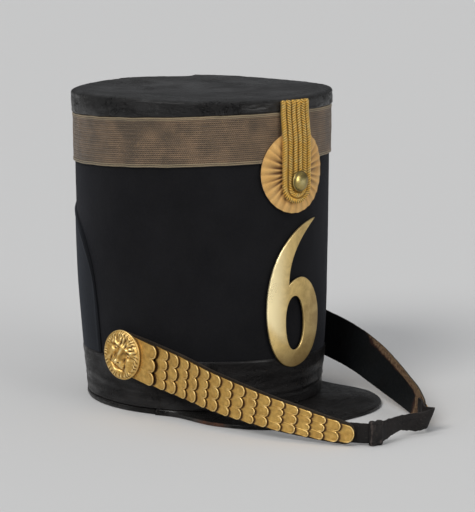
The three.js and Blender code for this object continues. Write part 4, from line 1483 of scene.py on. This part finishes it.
def makeBoss(side, at):
    spans, levels = 220, 72
    sides = levels + 8
    lap = scaleRise * (strap["bossRadius"] - strap["firstStart"])
    seat = strap["backing"] + gap + strap["plate"] + lap + gap
    tilt = -lion["tilt"] if side == "right" else lion["tilt"]

    def on(share, around, out):
        along, up = strap["bossHalfLength"] * sin(around), strap["bossRadius"] * cos(around)
        return at(along * share, up * share, seat + out) * mm

    def spot(i, j):
        around = i / spans * tau
        if j < levels:
            share = 0.97 * j / (levels - 1)
            height = lionHeight(share, around + tilt)
            ring = 0.06 * bump(share - 0.955, 0.02)
            edge = 0.15 * smooth(0.9, 0.97, share)
            relief = height * (1 - smooth(0.9, 0.95, share)) + ring - edge * 0.3
            out = lion["thickness"] * 0.85 + lion["relief"] * relief
            further = lionHeight(share + 0.02, around + tilt)
            near = (further + lionHeight(max(0, share - 0.02), around + tilt)) / 2
            turn = 0.05 / max(0.15, share)
            side1, side2 = lionHeight(share, around + tilt + turn), lionHeight(share, around + tilt - turn)
            # Tone from the relief's curvature: painted shade in the hollows, painted highlight on the ridges
            curve = height - (near + side1 + side2 + near) / 4
            return on(share, around, out), max(-1, min(1, curve * 22))
        step = j - levels
        if step < 4:
            share, out = [(0.99, 1.7), (1.0, 1.2), (1.0, 0.5), (0.985, 0.0)][step]
            return on(share, around, out), 0.5
        return on([0.7, 0.45, 0.2, 0.0][step - 4], around, 0)

    shape = sweep(spans, sides, spot, lambda i, j: (i, j), True)
    makePiece(f"boss{side.title()}", shape, [gilt], "gilt", [f"boss_{side}"], 60)


strapFrames = {side: strapFrame(side) for side in ("right", "left")}
for side, at in strapFrames.items():
    makeBacking(side, at)
    makeScales(side, at)
    makeBoss(side, at)
print("chin straps made")


# Tie and keeper
tie = {
    "width": 15.5,
    "flare": 3.5,
    "fold": 0.86,
    "rise": 0.12,
    "thickness": 1.8,
    "overlap": 9,
    "foot": 1.9,
    "route": [
        (0.032, 4.7), (0.079, 8.9), (0.125, 10.9), (0.2, 11.5), (0.304, 9.5), (0.454, 7.7), (0.628, 8.9),
        (0.766, 11.3), (0.83, 11.9), (0.862, 9.2), (0.92, 1.5),
    ],
    "torn": [
        (0.27, 0.2), (0.36, 1.2), (0.42, 2.8), (0.5, 3.6), (0.56, 2.6), (0.64, 1.2), (0.72, 1.6), (0.82, 0.6),
        (0.92, 2), (1, 0),
    ],
    "cornerTo": (0.73, -0.68, 0),
    "cornerPush": 5.5,
    "cornerRise": 2.4,
    "keeperAt": 0.22,
    "keeperLength": 11,
    "keeperWall": 1.6,
    "keeperSquareness": 0.35,
    "keeperRoll": 1.3,
    "cup": 0.7,
    "fray": (0.7, 0.5),
}


def tieRoute():
    behind = -gap * 1.5 - tie["thickness"] / 2
    right, left = strapFrames["right"], strapFrames["left"]
    length, lap = strap["length"], tie["overlap"]
    rightTip, leftTip = right(length, 0, behind), left(length, 0, behind)
    plan = [right(length - lap, 0, behind), right(length - lap / 2, 0, behind), rightTip]
    for across, ahead in tie["route"]:
        plan.append(Vector((mix(rightTip.x, leftTip.x, across), rightTip.y - ahead, 0)))
    plan += [leftTip, left(length - lap / 2, 0, behind), left(length - lap, 0, behind)]
    return smoothRoute([(point.x, point.y, tie["foot"]) for point in plan])


tieLine = tieRoute()
tieLengths = measure(tieLine)
tieTotal = tieLengths[-1]
tieCorner = max(zip(tieLengths, tieLine), key=lambda row: row[1].dot(Vector(tie["cornerTo"])))[0]


def tornAt(rows, share):
    for (low, a), (high, b) in zip(rows, rows[1:]):
        if share <= high:
            return mix(a, b, smooth(low, high, share))
    return rows[-1][1]


def makeTie():
    spans, levels = 260, 16
    sides = 2 * levels + 4

    def spot(i, j):
        along = i / spans * tieTotal
        centre = pointAt(tieLine, tieLengths, along)[0]
        before, after = [pointAt(tieLine, tieLengths, along + step)[1] for step in (-0.9, 0.9)]
        ahead = (before + after).normalized()
        side = Vector((-ahead.y, ahead.x, 0)).normalized()
        across, out = flatSection(j, levels, 1, -1)
        share = along / tieTotal
        loose = smooth(0.26, 0.34, share)
        broad, fine = tie["fray"]
        frayed = broad * wobble(along / 3.5, 1.5) + fine * wobble(along / 1.2, 6)
        low = tie["foot"] + max(0, tornAt(tie["torn"], share) + loose * frayed)
        flared = smooth(tie["fold"] - tie["rise"], tie["fold"], share)
        high = tie["foot"] + tie["width"] + tie["flare"] * flared
        up = mix(low, high + 0.4 * wobble(along / 4, 9), (across + 1) / 2)
        cup = tie["cup"] * wobble(along / 14, up / 12, 2) * loose * (1 - smooth(0.9, 0.98, share))
        corner = bump(along - tieCorner, 5) * (across + 1) / 2
        place = centre + side * (out * tie["thickness"] / 2 * (1 - 0.35 * across ** 6) + cup)
        place += Vector(tie["cornerTo"]) * corner * tie["cornerPush"]
        place.z = up + corner * tie["cornerRise"]
        tone = 0.7 * bump(1 - abs(across), 0.1) + 0.25 * wobble(along / 4, up / 4)
        return place * mm, tone

    shape = sweep(spans, sides, spot, lambda i, j: (i * 0.6, j), False)
    makePiece("tieStrap", shape, [tieLeather], "worn_leather", ["tie_strap"])


# The sweep runs round the tie, and its section along it and back
def makeKeeper():
    spans, sides = 48, 40
    wall = tie["keeperWall"]

    def spot(i, j):
        turn = i / spans * tau
        squareX, squareY = [squarish(value, tie["keeperSquareness"]) for value in (cos(turn), sin(turn))]
        section = j / sides * tau
        lengthwise = squarish(cos(section), 0.5)
        along = tie["keeperAt"] * tieTotal + tie["keeperLength"] / 2 * lengthwise
        along += 0.5 * wobble(turn * 2, 4)
        centre, ahead = pointAt(tieLine, tieLengths, along)
        side = Vector((-ahead.y, ahead.x, 0)).normalized()
        deep = wall * (0.5 + 0.5 * squarish(sin(section), 0.5))
        rolls = abs(sin(pi * lengthwise)) - 0.6 + 0.5 * wobble(turn * 3, lengthwise * 2, 7)
        deep = max(0.5, deep + tie["keeperRoll"] * rolls * smooth(wall / 2, wall, deep))
        across = (tie["thickness"] / 2 + gap + deep) * squareX
        middle = tie["foot"] + tie["width"] / 2
        up = (tie["width"] / 2 + gap + min(deep, wall - 0.2)) * squareY
        place = centre + side * across
        place.z = middle + up
        return place * mm, 1.2 * bump(deep - wall, 0.6) + 0.5 * wobble(turn * 5, lengthwise * 3)

    shape = sweep(spans, sides, spot, lambda i, j: (i, j), True)
    makePiece("tieKeeper", shape, [tieLeather], "worn_leather", ["tie_keeper"])


makeTie()
makeKeeper()
print("tie and keeper made")


# Floor, lights and camera. Suns are (name, place, angle, strength, colour)
studio = {
    "floor": shade(203, 203, 203),
    "floorSize": 40.0,
    "world": (0.95, 0.97, 1.0, 1),
    "worldStrength": (0.02, 0.5),
    "suns": [
        ("keySun", (-2.6, -0.5, 2.3), 26, 1.65, (1, 0.985, 0.96)),
        ("topSun", (-0.3, 0.8, 2.6), 40, 0.5, (1, 1, 1)),
        ("frontSun", (0.1, -2.4, 0.5), 30, 1.1, (1, 0.99, 0.97)),
    ],
}
view = {
    "distance": 1950,
    "turn": 0.754,
    "height": 442.5,
    "pitch": 0.168,
    "yaw": 0.015,
    "focal": 2391,
    "frameHeight": 512,
}


def makeStage():
    shape = bmesh.new()
    bmesh.ops.create_grid(shape, x_segments=2, y_segments=2, size=studio["floorSize"] / 2)
    mesh = bpy.data.meshes.new("studioFloor")
    shape.to_mesh(mesh)
    shape.free()
    fixed = {"Roughness": 0.85, "Specular IOR Level": 0.15, "Base Color": studio["floor"]}
    mesh.materials.append(newMaterial("paleFloor", fixed)[0])
    floor = addObject("studioFloor", mesh)


def makeLights():
    world = bpy.data.worlds.new("studioWorld")
    world.use_nodes = True
    tree = world.node_tree
    background = tree.nodes["Background"]
    direction = addNode(tree, "ShaderNodeTexCoord").outputs["Generated"]
    level = splitUp(tree, direction)[2]
    background.inputs["Color"].default_value = studio["world"]
    low, high = studio["worldStrength"]
    tree.links.new(spread(tree, level, 0.0, 0.7, low, high), background.inputs["Strength"])
    bpy.context.scene.world = world
    for name, place, angle, strength, colour in studio["suns"]:
        data = bpy.data.lights.new(name, "SUN")
        data.energy = strength
        data.angle = radians(angle)
        data.color = colour
        light = addObject(name, data)
        light.location = place
        light.rotation_euler = (-light.location).to_track_quat("-Z", "Y").to_euler()


def makeCamera():
    turn, pitch, yaw = view["turn"], view["pitch"], view["yaw"]
    right = Vector((cos(turn), -sin(turn), 0))
    deep = Vector((sin(turn), cos(turn), 0))
    ahead = right * sin(yaw) + deep * cos(yaw)
    looking = ahead * cos(pitch) - Vector((0, 0, sin(pitch)))
    data = bpy.data.cameras.new("photoCamera")
    data.sensor_fit = "VERTICAL"
    data.sensor_height = 36
    data.lens = view["focal"] / view["frameHeight"] * data.sensor_height
    data.clip_start = 0.05
    data.clip_end = 60
    camera = addObject("photoCamera", data)
    camera.location = Vector((crownX, crownY, view["height"] * mm)) - deep * view["distance"] * mm
    camera.rotation_euler = looking.to_track_quat("-Z", "Y").to_euler()
    bpy.context.scene.camera = camera


makeStage()
makeLights()
makeCamera()
bpy.context.scene.view_settings.view_transform = "Standard"
print("stage, lights and camera set")
